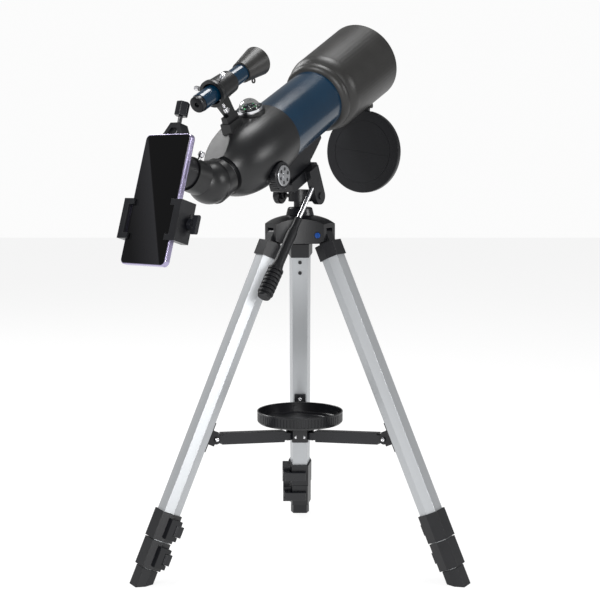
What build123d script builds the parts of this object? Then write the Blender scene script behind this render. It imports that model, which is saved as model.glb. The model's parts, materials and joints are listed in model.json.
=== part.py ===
from build123d import *
import math
import os

# Short refractor telescope on a pan and tilt tripod, with finder, compass and phone holder.
# Origin: on the floor under the pan axis. +Z is up. The rear leg stands toward +Y.

os.makedirs("parts", exist_ok=True)

# ---------------------------------------------------------------- fits
shaft_gap = 0.05
slide_gap = 0.3
joint_gap = 0.4

# ---------------------------------------------------------------- tripod
leg_azimuths = {"rear": 90.0, "left": 210.0, "right": 330.0}
leg_lean = 24.15
hinge_height = 432.0
foot_circle = 230.0
hinge_radius = foot_circle - hinge_height * math.tan(math.radians(leg_lean))
floor_distance = hinge_height / math.cos(math.radians(leg_lean))
tube_depth = 23.0
tube_width = 28.5
tube_flat = 20.5
tube_wall = 1.2
hinge_bolt_radius = 2.5
tongue_radius = 8.0
tongue_width = 15.0
collar_top = 12.0
collar_bottom = 32.0
collar_wall = 2.2
tube_top = 17.0
lock_length = 36.0
lock_wall = 2.4
upper_lock_top = 378.0
lock_spacing = 1.2
lower_lock_top = upper_lock_top + lock_length + lock_spacing
foot_top = lower_lock_top + lock_length + 1.0
lock_lip = 9.0
middle_top = 55.0
inner_top = 85.0
inner_depth_in_foot = 8.0
lever_pin_radius = 1.5
lever_length = 30.0
lever_height = 14.0
lever_thickness = 3.2

# ---------------------------------------------------------------- crown
crown_bottom = 421.0
crown_shoulder = 447.0
crown_top = 456.0
crown_arm_end = 43.7
crown_arm_half = 14.8
panel_hollow = 3.0
neck_foot_radius = 18.2
neck_top_radius = 16.0
neck_top = 466.5
spindle_radius = 6.0

# ---------------------------------------------------------------- spreader and tray
bracket_top = 252.6
bracket_bottom = 292.0
bracket_thickness = 2.5
bracket_reach = 22.7
bracket_pivot = 272.0
bracket_cheek = 2.0
bracket_cheek_radius = 6.5
arm_width = 11.0
arm_height = 15.0
arm_wall = 1.6
arm_hub_radius = 11.5
hub_pivot_height = 166.0
hub_apothem = 16.0
hub_top = 181.0
hub_bottom = 158.5
pin_radius = 2.0
tray_radius = 56.5
tray_height = 16.0
tray_wall = 2.2
tray_floor = 2.4

# ---------------------------------------------------------------- pan and tilt head
scope_azimuth = 32.9
scope_elevation = 24.4
pan_block_radius = 15.0
pan_block_bottom = 474.0
pan_block_top = 489.0
tilt_height = 481.0
tilt_forward = 8.0
tilt_pin_radius = 4.0
cheek_inner = 18.0
cheek_outer = 26.0
cheek_radius = 11.0
handle_lateral = 22.5
handle_drop = 25.2
handle_rod_radius = 3.0
handle_length = 178.0
grip_start = 74.0
platform_bottom = 76.0
platform_top = 62.0

# ---------------------------------------------------------------- telescope
scope_height = 589.3
scope_offset = 1.0
body_radius = 40.0
body_wall = 1.5
body_rear = -92.0
body_front = 60.0
housing_front = -74.5
housing_rear = -188.0
housing_wall = 3.0
drawtube_radius = 20.0
drawtube_bore = 16.0
drawtube_front = -95.0
drawtube_rear = -205.5
focus_shaft_t = -135.0
focus_gear_radius = 4.0
focus_shaft_radius = 2.5
rack_height = 1.2
rack_width = 6.0
rack_clearance = 0.5
housing_collar = 14.0
shield_rear = 36.5
shield_seam = 47.7
shield_front = 171.0
shield_front_radius = 53.4
shield_wall = 2.2
lens_radius = 42.0
lens_rear = 66.0
lens_edge = 7.0
compass_t = -104.0
compass_radius = 16.5
compass_seat = 46.5
dome_radius = 13.5
finder_height = 95.0
finder_radius = 10.8
finder_rear = -200.0
finder_front = -64.0
finder_ring_rear = -168.0
finder_ring_front = -130.0
cap_radius = 57.2
cap_skirt = 4.6
cap_wall = 2.0
cap_pivot_t = 167.0
cap_pivot_u = -64.0
cap_swing = 204.4
cap_roll = 4.3
lug_offset = 6.0
lug_half = 1.5
lug_length = 6.0
lug_clearance = 0.6

# ---------------------------------------------------------------- diagonal, eyepiece and phone holder
ball_t = -216.0
ball_u = 4.0
ball_radius = 26.0
diagonal_bend = 43.0
diagonal_roll = 12.6
holder_roll = 11.0
eyepiece_radius = 15.8
phone_width = 74.0
phone_height = 153.0
phone_thickness = 8.0
phone_back = 76.5
phone_centre_x = 8.0
phone_centre_y = -44.0
phone_radius = 9.0
holder_y = -68.0
jaw_height = 47.0
finger_width = 7.0
finger_thickness = 3.0
finger_offset = (jaw_height - finger_width) / 2

# ---------------------------------------------------------------- reference planes
pan_angle = math.radians(scope_azimuth)
tilt_angle = math.radians(scope_elevation)
right = Vector(math.cos(pan_angle), -math.sin(pan_angle), 0)
ahead = Vector(math.sin(pan_angle), math.cos(pan_angle), 0)
forward = ahead * math.cos(tilt_angle) + Vector(0, 0, math.sin(tilt_angle))
upward = right.cross(forward)
scope_origin = Vector(scope_offset, 0, scope_height)


def scope_point(along, lateral, height):
    """Point given by distance along the optical axis, to the right and above it."""
    return scope_origin + forward * along + right * lateral + upward * height


def across(along, height=0.0, lateral=0.0):
    """Plane square to the optical axis: X to the left, Y up, Z forward."""
    return Plane(scope_point(along, lateral, height), x_dir=right * -1, z_dir=forward)


def beside(lateral):
    """Plane parallel to the axis and upright: X forward, Y up, Z to the right."""
    return Plane(scope_point(0, lateral, 0), x_dir=forward, z_dir=right)


cap_turn = math.radians(cap_roll)
cap_right = right * math.cos(cap_turn) - upward * math.sin(cap_turn)
cap_up = upward * math.cos(cap_turn) + right * math.sin(cap_turn)


def cap_side(lateral):
    """Plane beside the cap's hinge, which sits a little left of the lowest point: X forward."""
    return Plane(scope_origin + cap_right * lateral, x_dir=forward, z_dir=cap_right)


def sideways(along, height, lateral):
    """Plane square to the lateral direction at one point of the telescope."""
    return Plane(scope_point(along, lateral, height), x_dir=forward, z_dir=right)


scope_axis = Axis(scope_origin, forward)


def head_plane(height):
    """Level plane of the pan head: X to the right, Y ahead."""
    return Plane((0, 0, height), x_dir=right, z_dir=(0, 0, 1))


def cap_middle(radius, height):
    """Middle point (radius, height) of a spherical cap's outline from its rim to its crown."""
    ball = (radius * radius + height * height) / (2 * height)
    half = math.asin(min(1.0, radius / ball)) / 2
    return ball * math.sin(half), height - ball * (1 - math.cos(half))


def finish(builder, name):
    """Label one finished piece and write it to its own file."""
    builder.part.label = name
    export_step(builder.part, "parts/" + name + ".step")


def finish_group(builders, name):
    """Label several separate solids that stay together and write them to one file."""
    group = Compound([builder.part for builder in builders])
    group.label = name
    export_step(group, "parts/" + name + ".step")


def export_turned(part, name, azimuth):
    """Write a copy of a leg piece turned about the tripod axis."""
    copy = part.rotate(Axis.Z, azimuth)
    copy.label = name
    export_step(copy, "parts/" + name + ".step")


# ================================================================ tripod leg, drawn toward +X
lean = math.radians(leg_lean)
leg = Plane(
    (hinge_radius, 0, hinge_height),
    x_dir=(math.cos(lean), 0, math.sin(lean)),
    z_dir=(math.sin(lean), 0, -math.cos(lean)),
)


def leg_points(growth):
    """Corners of the six-sided leg outline, grown or shrunk all round by one distance."""
    half_depth = tube_depth / 2
    half_flat = tube_flat / 2
    half_width = tube_width / 2
    slope = half_width - half_flat
    reach = growth * math.hypot(half_depth, slope)
    side = half_depth + growth
    flat = (half_depth * half_width + reach - slope * side) / half_depth
    tip = half_width + reach / half_depth
    return [(-side, -flat), (-side, flat), (0, tip), (side, flat), (side, -flat), (0, -tip)]


middle_shrink = -tube_wall - slide_gap
inner_shrink = middle_shrink - tube_wall - slide_gap

with BuildPart() as outer_tube:
    with BuildSketch(leg.offset(tube_top)):
        Polygon(*leg_points(0), align=None)
        Polygon(*leg_points(-tube_wall), align=None, mode=Mode.SUBTRACT)
    extrude(amount=upper_lock_top + lock_length - lock_lip - tube_top)

with BuildPart() as middle_tube:
    with BuildSketch(leg.offset(middle_top)):
        Polygon(*leg_points(middle_shrink), align=None)
        Polygon(*leg_points(middle_shrink - tube_wall), align=None, mode=Mode.SUBTRACT)
    extrude(amount=lower_lock_top + lock_length - lock_lip - middle_top)

with BuildPart() as inner_tube:
    with BuildSketch(leg.offset(inner_top)):
        Polygon(*leg_points(inner_shrink), align=None)
        Polygon(*leg_points(inner_shrink - tube_wall), align=None, mode=Mode.SUBTRACT)
    extrude(amount=foot_top + inner_depth_in_foot - inner_top)

with BuildPart() as collar:
    with BuildSketch(leg.offset(collar_top)):
        Polygon(*leg_points(collar_wall), align=None)
    extrude(amount=collar_bottom - collar_top)
    with BuildSketch(leg.offset(tube_top)):
        Polygon(*leg_points(0), align=None)
    extrude(amount=collar_bottom, mode=Mode.SUBTRACT)
    tongue_side = Plane(leg.origin, x_dir=leg.z_dir, z_dir=(0, 1, 0))
    with BuildSketch(tongue_side):
        Circle(tongue_radius)
        with Locations((collar_top / 2 + 1, 0)):
            Rectangle(collar_top + 2, 2 * tongue_radius)
    extrude(amount=tongue_width / 2, both=True)
    with BuildSketch(tongue_side):
        Circle(hinge_bolt_radius + shaft_gap)
    extrude(amount=tongue_width, both=True, mode=Mode.SUBTRACT)


def lock_body(top, growth, bore, lip_bore):
    """One sleeve of a flip lock, with the ear that carries the lever's pin."""
    ear_inner = tube_width / 2 + growth - 3
    with BuildPart() as sleeve:
        with BuildSketch(leg.offset(top)):
            Polygon(*leg_points(growth), align=None)
        extrude(amount=lock_length)
        with BuildSketch(leg.offset(top + 5)):
            with Locations((-3, -(ear_inner + 6))):
                Rectangle(15, 12)
        extrude(amount=lock_length - 10)
        with BuildSketch(leg.offset(top)):
            Polygon(*leg_points(bore), align=None)
        extrude(amount=lock_length - lock_lip, mode=Mode.SUBTRACT)
        with BuildSketch(leg.offset(top)):
            Polygon(*leg_points(lip_bore), align=None)
        extrude(amount=lock_length, mode=Mode.SUBTRACT)
        with BuildSketch(leg.offset(top + (lock_length - lever_height) / 2 - slide_gap)):
            with Locations((-10.0, -(ear_inner + 9))):
                Rectangle(13, 13)
        extrude(amount=lever_height + 2 * slide_gap, mode=Mode.SUBTRACT)
    pin_spot = (-7.0, -(ear_inner + 8))
    return sleeve, pin_spot


def lock_lever(top, growth, pin_spot):
    """The flip lever: an eye on its pin and a plate lying over the inner flat."""
    plate_x = -(tube_depth / 2 + growth + slide_gap + lever_thickness / 2)
    start = top + (lock_length - lever_height) / 2
    with BuildPart() as lever:
        with BuildSketch(leg.offset(start)):
            with Locations((plate_x, pin_spot[1] + lever_length / 2)):
                RectangleRounded(lever_thickness, lever_length, 1.2)
            with Locations(((plate_x + pin_spot[0]) / 2, pin_spot[1])):
                Rectangle(abs(plate_x - pin_spot[0]), 5)
            with Locations(pin_spot):
                Circle(2.9)
            with Locations(pin_spot):
                Circle(lever_pin_radius + shaft_gap, mode=Mode.SUBTRACT)
        extrude(amount=lever_height)
    return lever


upper_lock, upper_pin = lock_body(upper_lock_top, lock_wall, 0, middle_shrink + slide_gap)
lower_growth = lock_wall - 0.7
lower_lock, lower_pin = lock_body(lower_lock_top, lower_growth, middle_shrink, inner_shrink + slide_gap)
upper_lever = lock_lever(upper_lock_top, lock_wall, upper_pin)
lower_lever = lock_lever(lower_lock_top, lower_growth, lower_pin)


def lever_pin(top, pin_spot):
    """Steel pin of a flip lever, seated in both halves of the lock's ear."""
    with BuildPart() as pin:
        with BuildSketch(leg.offset(top + 6)):
            with Locations(pin_spot):
                Circle(lever_pin_radius)
        extrude(amount=lock_length - 12)
    return pin


upper_lever_pin = lever_pin(upper_lock_top, upper_pin)
lower_lever_pin = lever_pin(lower_lock_top, lower_pin)
upper_lock_bored = upper_lock.part - upper_lever_pin.part
lower_lock_bored = lower_lock.part - lower_lever_pin.part

with BuildPart() as bracket:
    with BuildSketch(leg.offset(bracket_top)):
        with Locations((-(tube_depth + bracket_thickness) / 2, 0)):
            Rectangle(bracket_thickness, arm_width + 2 * joint_gap + 2 * bracket_cheek)
    extrude(amount=bracket_bottom - bracket_top)
    cheek_side = Plane(leg.origin, x_dir=leg.x_dir, z_dir=(0, 1, 0))
    with BuildSketch(cheek_side.offset(arm_width / 2 + joint_gap)) as cheek_sketch:
        with Locations((-bracket_reach, bracket_pivot)):
            Circle(bracket_cheek_radius)
        with Locations((-(bracket_reach + tube_depth / 2) / 2, bracket_pivot)):
            Rectangle(bracket_reach - tube_depth / 2, 2 * bracket_cheek_radius + 6)
    extrude(amount=bracket_cheek)
    mirror(about=Plane.XZ)

with BuildPart() as bracket_screws:
    for side in (1, -1):
        seat = cheek_side.offset(side * (arm_width / 2 + joint_gap + bracket_cheek))
        with BuildSketch(seat):
            with Locations((-bracket_reach, bracket_pivot)):
                Circle(3.2)
        extrude(amount=side * 2.0)
    inner_face = Plane(leg.origin, x_dir=leg.z_dir, z_dir=leg.x_dir * -1)
    with BuildSketch(inner_face.offset(tube_depth / 2 + bracket_thickness)):
        with Locations((bracket_top + 6, 0)):
            Circle(2.4)
    extrude(amount=1.6)
    with BuildSketch(inner_face.offset(tube_depth / 2)):
        with Locations((collar_bottom + 8, 0), (collar_bottom + 24, 0)):
            Circle(2.4)
    extrude(amount=1.6)

with BuildPart() as foot:
    with BuildSketch(leg.offset(foot_top)):
        Polygon(*leg_points(-0.6), align=None)
    extrude(amount=floor_distance)
    with BuildSketch(leg.offset(foot_top)):
        Polygon(*leg_points(inner_shrink), align=None)
        Polygon(*leg_points(inner_shrink - tube_wall), align=None, mode=Mode.SUBTRACT)
    extrude(amount=inner_depth_in_foot, mode=Mode.SUBTRACT)
    split(bisect_by=Plane.XY, keep=Keep.TOP)

fittings = Compound([collar.part, upper_lock_bored, bracket.part, bracket_screws.part, upper_lever_pin.part])
lower_fittings = Compound([lower_lock_bored, lower_lever_pin.part])
inner_section = Compound([inner_tube.part, foot.part])

for leg_name, leg_azimuth in leg_azimuths.items():
    prefix = leg_name + "_leg_"
    export_turned(outer_tube.part, prefix + "outer_tube", leg_azimuth)
    export_turned(fittings, prefix + "fittings", leg_azimuth)
    export_turned(upper_lever.part, prefix + "upper_lever", leg_azimuth)
    export_turned(middle_tube.part, prefix + "middle_tube", leg_azimuth)
    export_turned(lower_fittings, prefix + "lower_lock", leg_azimuth)
    export_turned(lower_lever.part, prefix + "lower_lever", leg_azimuth)
    export_turned(inner_section, prefix + "inner_tube", leg_azimuth)

# ================================================================ spreader
pivot_r = hinge_radius - bracket_reach * math.cos(lean) + bracket_pivot * math.sin(lean)
pivot_z = hinge_height - bracket_reach * math.sin(lean) - bracket_pivot * math.cos(lean)
arm_run = math.hypot(pivot_r - arm_hub_radius, pivot_z - hub_pivot_height)
arm_rise = math.degrees(math.atan2(pivot_z - hub_pivot_height, pivot_r - arm_hub_radius))
arm_short = 4.5
arm_side = Plane(
    (arm_hub_radius, 0, hub_pivot_height),
    x_dir=(math.cos(math.radians(arm_rise)), 0, math.sin(math.radians(arm_rise))),
    z_dir=(0, -1, 0),
)
arm_end_radius = 5.0

with BuildPart() as arm:
    with BuildSketch(arm_side):
        Circle(arm_end_radius)
        with Locations((8, 0)):
            Rectangle(16, 2 * arm_end_radius)
        with Locations(((arm_run - 10) / 2 + 7, 0)):
            Rectangle(arm_run - 24, arm_height)
        with Locations(((arm_run - 18 + arm_run - arm_short) / 2, 0)):
            Rectangle(18 - arm_short, 2 * arm_end_radius)
    extrude(amount=arm_width / 2, both=True)
    with BuildSketch(arm_side):
        with Locations((arm_run / 2 + 3, -arm_wall)):
            Rectangle(arm_run - 36, arm_height)
    extrude(amount=arm_width / 2 - arm_wall, both=True, mode=Mode.SUBTRACT)
    with BuildSketch(arm_side):
        Circle(pin_radius + shaft_gap)
    extrude(amount=arm_width, both=True, mode=Mode.SUBTRACT)

for leg_name, leg_azimuth in leg_azimuths.items():
    export_turned(arm.part, leg_name + "_spreader_arm", leg_azimuth)

pin_half = 10.5
with BuildPart() as hub_pins:
    for pin_azimuth in leg_azimuths.values():
        turn = math.radians(pin_azimuth)
        across_arm = Vector(-math.sin(turn), math.cos(turn), 0)
        centre = Vector(math.cos(turn), math.sin(turn), 0) * arm_hub_radius + Vector(0, 0, hub_pivot_height)
        shank = Plane(centre - across_arm * pin_half, z_dir=across_arm)
        with BuildSketch(shank):
            Circle(pin_radius)
        extrude(amount=2 * pin_half)

with BuildPart() as spreader_hub:
    with BuildSketch(Plane.XY.offset(hub_bottom)):
        RegularPolygon(hub_apothem, 6, major_radius=False)
    extrude(amount=hub_top - hub_bottom)
    with BuildSketch(Plane.XY.offset(hub_bottom)):
        for pin_azimuth in leg_azimuths.values():
            turn = math.radians(pin_azimuth)
            slot_centre = (17 * math.cos(turn), 17 * math.sin(turn))
            with Locations(Location((slot_centre[0], slot_centre[1], 0), (0, 0, pin_azimuth))):
                Rectangle(24, arm_width + 2 * slide_gap)
    extrude(amount=hub_pivot_height + 7 - hub_bottom, mode=Mode.SUBTRACT)
    add(hub_pins.part, mode=Mode.SUBTRACT)
    with BuildSketch(Plane.XY.offset(hub_top)):
        Circle(26)
    extrude(amount=2)

tray_bottom = hub_top + 2
with BuildPart() as tray_screw:
    with BuildSketch(Plane.XY.offset(tray_bottom + tray_floor)):
        Circle(5)
    extrude(amount=3)
    fillet(tray_screw.edges().group_by(Axis.Z)[-1], 1)
finish_group([spreader_hub, hub_pins, tray_screw], "spreader_hub")

with BuildPart() as tray:
    with BuildSketch(Plane.XY.offset(tray_bottom)):
        Circle(tray_radius)
    extrude(amount=tray_height)
    with BuildSketch(Plane.XY.offset(tray_bottom + tray_floor)):
        Circle(tray_radius - tray_wall)
    extrude(amount=tray_height, mode=Mode.SUBTRACT)
finish(tray, "accessory_tray")

# ================================================================ crown
slot_top = hinge_height + tongue_radius + 1
bolt_half = 17.0
with BuildPart() as hinge_bolts:
    for bolt_azimuth in leg_azimuths.values():
        turn = math.radians(bolt_azimuth)
        across_arm = Vector(-math.sin(turn), math.cos(turn), 0)
        centre = Vector(math.cos(turn), math.sin(turn), 0) * hinge_radius + Vector(0, 0, hinge_height)
        with BuildSketch(Plane(centre - across_arm * bolt_half, z_dir=across_arm)):
            Circle(hinge_bolt_radius)
        extrude(amount=2 * bolt_half - 5)
        with BuildSketch(Plane(centre - across_arm * bolt_half, z_dir=across_arm)):
            Circle(3.6)
        extrude(amount=-2.5)
finish(hinge_bolts, "leg_hinge_bolts")

with BuildPart() as crown:
    with BuildSketch(Plane.XY.offset(crown_bottom)):
        with BuildLine():
            for start_azimuth in (90.0, 210.0, 330.0):
                turn = math.radians(start_azimuth)
                next_turn = turn + math.radians(120)
                out = Vector(math.cos(turn), math.sin(turn)) * crown_arm_end
                side_way = Vector(-math.sin(turn), math.cos(turn)) * crown_arm_half
                next_out = Vector(math.cos(next_turn), math.sin(next_turn)) * crown_arm_end
                next_way = Vector(-math.sin(next_turn), math.cos(next_turn)) * crown_arm_half
                corner_a = out + side_way
                corner_b = next_out - next_way
                middle = (corner_a + corner_b) * 0.5
                middle = middle * ((middle.length - panel_hollow) / middle.length)
                Line(out - side_way, corner_a)
                ThreePointArc(corner_a, middle, corner_b)
        make_face()
    extrude(amount=crown_top - crown_bottom)
    with BuildSketch(Plane.XZ):
        with BuildLine():
            rim = crown_arm_end + 5
            Line((neck_foot_radius, crown_top), (rim, crown_top))
            Line((rim, crown_top), (rim, crown_shoulder - 3))
            ThreePointArc(
                (rim, crown_shoulder - 3),
                (0.5 * (rim + neck_foot_radius) + 1, crown_shoulder + 4.5),
                (neck_foot_radius, crown_top),
            )
        make_face()
    revolve(axis=Axis.Z, mode=Mode.SUBTRACT)
    with BuildSketch(Plane.XY.offset(crown_bottom)):
        for slot_azimuth in leg_azimuths.values():
            turn = math.radians(slot_azimuth)
            reach = hinge_radius + 6
            with Locations(Location((reach * math.cos(turn), reach * math.sin(turn), 0), (0, 0, slot_azimuth))):
                Rectangle(34, tongue_width + 2 * slide_gap)
    extrude(amount=slot_top - crown_bottom, mode=Mode.SUBTRACT)
    with BuildSketch(Plane.XY.offset(crown_bottom)):
        Circle(13)
    extrude(amount=14, mode=Mode.SUBTRACT)
    with BuildSketch(Plane.XY.offset(crown_bottom)):
        Circle(spindle_radius + shaft_gap)
    extrude(amount=crown_top - crown_bottom, mode=Mode.SUBTRACT)
    add(hinge_bolts.part, mode=Mode.SUBTRACT)
    for bolt_azimuth in leg_azimuths.values():
        turn = math.radians(bolt_azimuth)
        across_arm = Vector(-math.sin(turn), math.cos(turn), 0)
        centre = Vector(math.cos(turn), math.sin(turn), 0) * hinge_radius + Vector(0, 0, hinge_height)
        with BuildSketch(Plane(centre - across_arm * bolt_half, z_dir=across_arm)):
            Circle(4.2)
        extrude(amount=-12, mode=Mode.SUBTRACT)
    for leg_azimuth in leg_azimuths.values():
        turn = math.radians(leg_azimuth)
        down_leg = Vector(
            math.sin(lean) * math.cos(turn), math.sin(lean) * math.sin(turn), -math.cos(lean)
        )
        hinge_point = Vector(hinge_radius * math.cos(turn), hinge_radius * math.sin(turn), hinge_height)
        sideways_leg = Vector(-math.sin(turn), math.cos(turn), 0)
        with BuildSketch(Plane(hinge_point + down_leg * (collar_top - 2.2), x_dir=sideways_leg, z_dir=down_leg)):
            Rectangle(60, 60)
        extrude(amount=30, mode=Mode.SUBTRACT)
finish(crown, "tripod_crown")

with BuildPart() as pan_base:
    with BuildSketch(Plane.XZ):
        with BuildLine():
            Polyline(
                (spindle_radius + shaft_gap, crown_top),
                (neck_foot_radius, crown_top),
                (neck_top_radius, neck_top - 1.5),
                (neck_top_radius - 1.5, neck_top),
                (spindle_radius + shaft_gap, neck_top),
                close=True,
            )
        make_face()
    revolve(axis=Axis.Z)
finish(pan_base, "pan_base")

# ================================================================ pan and tilt head
tilt_centre = ahead * tilt_forward + Vector(0, 0, tilt_height)
pivot_along = (tilt_centre - scope_origin).dot(forward)
pivot_up = (tilt_centre - scope_origin).dot(upward)
lock_height = tilt_height
lock_end = 22.0

with BuildPart() as tilt_bolt:
    with BuildSketch(sideways(pivot_along, pivot_up, -4.0)):
        Circle(tilt_pin_radius)
    extrude(amount=cheek_outer + 4.0)
    with BuildSketch(sideways(pivot_along, pivot_up, cheek_outer)):
        Circle(4.6)
    extrude(amount=1.6)

with BuildPart() as pan_lock:
    with BuildSketch(Plane(Vector(0, 0, lock_height) - right * 8, z_dir=right * -1)):
        Circle(2.5)
    extrude(amount=20)
    with BuildSketch(Plane(Vector(0, 0, lock_height) - right * lock_end, z_dir=right * -1)):
        Circle(5)
    extrude(amount=5)
    with BuildSketch(Plane(Vector(0, 0, lock_height) - right * (lock_end + 5), z_dir=right * -1)):
        Circle(11)
    extrude(amount=9)
finish(pan_lock, "pan_lock_knob")

with BuildPart() as pan_block:
    with BuildSketch(head_plane(pan_block_bottom)):
        Circle(pan_block_radius)
        with Locations((1, tilt_forward)):
            Rectangle(2 * cheek_inner - 2.0 - 2 * joint_gap, 14)
    extrude(amount=pan_block_top - pan_block_bottom)
    with BuildSketch(head_plane(neck_top)):
        Circle(8)
    extrude(amount=pan_block_bottom - neck_top)
    with BuildSketch(head_plane(crown_bottom + 10)):
        Circle(spindle_radius)
    extrude(amount=neck_top - crown_bottom - 10)
    with BuildSketch(Plane(Vector(0, 0, lock_height) - right * 8, z_dir=right * -1)):
        Circle(2.5 + shaft_gap)
    extrude(amount=20, mode=Mode.SUBTRACT)
    add(tilt_bolt.part, mode=Mode.SUBTRACT)
finish_group([pan_block, tilt_bolt], "pan_block")

handle_turn = math.radians(handle_drop)
handle_way = forward * -math.cos(handle_turn) - upward * math.sin(handle_turn)
handle_origin = scope_point(pivot_along - 3.5, handle_lateral, pivot_up + 19.0)


def handle_plane(distance):
    """Plane square to the pan handle, at a distance from its root."""
    return Plane(handle_origin + handle_way * distance, x_dir=right, z_dir=handle_way)


with BuildPart() as tilt_arm:
    with BuildSketch(beside(cheek_inner)):
        with Locations((pivot_along, pivot_up)):
            Circle(cheek_radius)
        with Locations((pivot_along, (pivot_up - platform_top) / 2)):
            Rectangle(2 * cheek_radius, abs(pivot_up) - platform_top)
    extrude(amount=cheek_outer - cheek_inner)
    with BuildSketch(beside(-17.0)):
        with Locations((pivot_along - 12, -(platform_top + platform_bottom) / 2)):
            RectangleRounded(66, platform_bottom - platform_top, 4)
    extrude(amount=17.0 + cheek_inner)
    with BuildSketch(sideways(pivot_along, pivot_up, 0)):
        Circle(tilt_pin_radius + shaft_gap)
    extrude(amount=cheek_outer + 5, mode=Mode.SUBTRACT)
    with BuildSketch(handle_plane(0)):
        Circle(handle_rod_radius + shaft_gap)
    extrude(amount=40, mode=Mode.SUBTRACT)
finish(tilt_arm, "tilt_arm")

with BuildPart() as handle_rod:
    with BuildSketch(handle_plane(0.3)):
        Circle(handle_rod_radius)
    extrude(amount=grip_start)
finish(handle_rod, "pan_handle_rod")

grip_profile = [
    (handle_rod_radius, 56.0),
    (4.7, 56.0),
    (4.7, grip_start - 2),
    (5.6, grip_start),
    (5.6, grip_start + 3),
    (7.6, grip_start + 8),
    (8.4, handle_length - 42),
    (10.0, handle_length - 38),
    (10.0, handle_length - 2),
    (8.0, handle_length),
    (0, handle_length),
    (0, grip_start + 0.3),
    (handle_rod_radius, grip_start + 0.3),
]
grip_side = Plane(handle_origin, x_dir=right, z_dir=right.cross(handle_way))
with BuildPart() as grip:
    with BuildSketch(grip_side):
        with BuildLine():
            Polyline(*grip_profile, close=True)
        make_face()
    revolve(axis=Axis(handle_origin, handle_way))
finish(grip, "pan_handle_grip")

# ================================================================ saddle
with BuildPart() as saddle:
    with BuildSketch(beside(0)):
        with BuildLine():
            Polyline(
                (12, -42.5),
                (12, -34),
                (housing_front + 1, -34),
                (housing_front + 1, -platform_top),
                (-24, -platform_top),
                (-24, -58),
            )
            ThreePointArc((-24, -58), (-10, -52.5), (12, -42.5))
        make_face()
    extrude(amount=14, both=True)
    with BuildSketch(across(body_rear)):
        Circle(body_radius)
    extrude(amount=body_front - body_rear, mode=Mode.SUBTRACT)
finish(saddle, "tube_saddle")

# ================================================================ optical tube
with BuildPart() as main_tube:
    with BuildSketch(across(body_rear)):
        Circle(body_radius)
        Circle(body_radius - body_wall, mode=Mode.SUBTRACT)
    extrude(amount=body_front - body_rear)
finish(main_tube, "main_tube")

with BuildPart() as dew_shield:
    with BuildSketch(beside(0)):
        with BuildLine():
            ThreePointArc((shield_rear, body_radius), (shield_rear + 2.5, 44.6), (shield_seam, 47.0))
            Line((shield_seam, 47.0), (shield_seam + 1, 46.2))
            ThreePointArc((shield_seam + 1, 46.2), (shield_seam + 7, 50.0), (shield_seam + 18, 51.6))
            Line((shield_seam + 18, 51.6), (shield_front - 1.5, shield_front_radius))
            Line((shield_front - 1.5, shield_front_radius), (shield_front, shield_front_radius - 0.8))
            Line((shield_front, shield_front_radius - 0.8), (shield_front, shield_front_radius - shield_wall))
            Line((shield_front, shield_front_radius - shield_wall), (lens_rear + 16, 49.2))
            Line((lens_rear + 16, 49.2), (lens_rear + 9, lens_radius))
            Line((lens_rear + 9, lens_radius), (lens_rear, lens_radius))
            Line((lens_rear, lens_radius), (lens_rear, body_radius - 1))
            Line((lens_rear, body_radius - 1), (body_front, body_radius - 1))
            Line((body_front, body_radius - 1), (body_front, body_radius))
            Line((body_front, body_radius), (shield_rear, body_radius))
        make_face()
    revolve(axis=scope_axis)
    lug_u = -(shield_front_radius + abs(cap_pivot_u)) / 2
    for lug_side in (-lug_offset, lug_offset):
        with BuildSketch(cap_side(lug_side)):
            with Locations((cap_pivot_t, cap_pivot_u)):
                Circle(lug_length / 2)
            with Locations((cap_pivot_t, lug_u)):
                Rectangle(lug_length, abs(cap_pivot_u) - shield_front_radius + 0.6)
        extrude(amount=lug_half, both=True)
    with BuildSketch(cap_side(-10)):
        with Locations((cap_pivot_t, cap_pivot_u)):
            Circle(1.2)
    extrude(amount=20, mode=Mode.SUBTRACT)

lens_bow = 2.4
rear_mid = cap_middle(body_radius - 1.5, lens_bow)
front_mid = cap_middle(lens_radius, lens_bow + 1.6)
lens_front = lens_rear + lens_edge
with BuildPart() as lens:
    with BuildSketch(beside(0)):
        with BuildLine():
            ThreePointArc(
                (lens_rear - lens_bow, 0), (lens_rear - rear_mid[1], rear_mid[0]), (lens_rear, body_radius - 1.5)
            )
            Line((lens_rear, body_radius - 1.5), (lens_rear, lens_radius))
            Line((lens_rear, lens_radius), (lens_front, lens_radius))
            ThreePointArc(
                (lens_front, lens_radius), (lens_front + front_mid[1], front_mid[0]), (lens_front + lens_bow + 1.6, 0)
            )
            Line((lens_front + lens_bow + 1.6, 0), (lens_rear - lens_bow, 0))
        make_face()
    revolve(axis=scope_axis)
finish(lens, "objective_lens")

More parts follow.
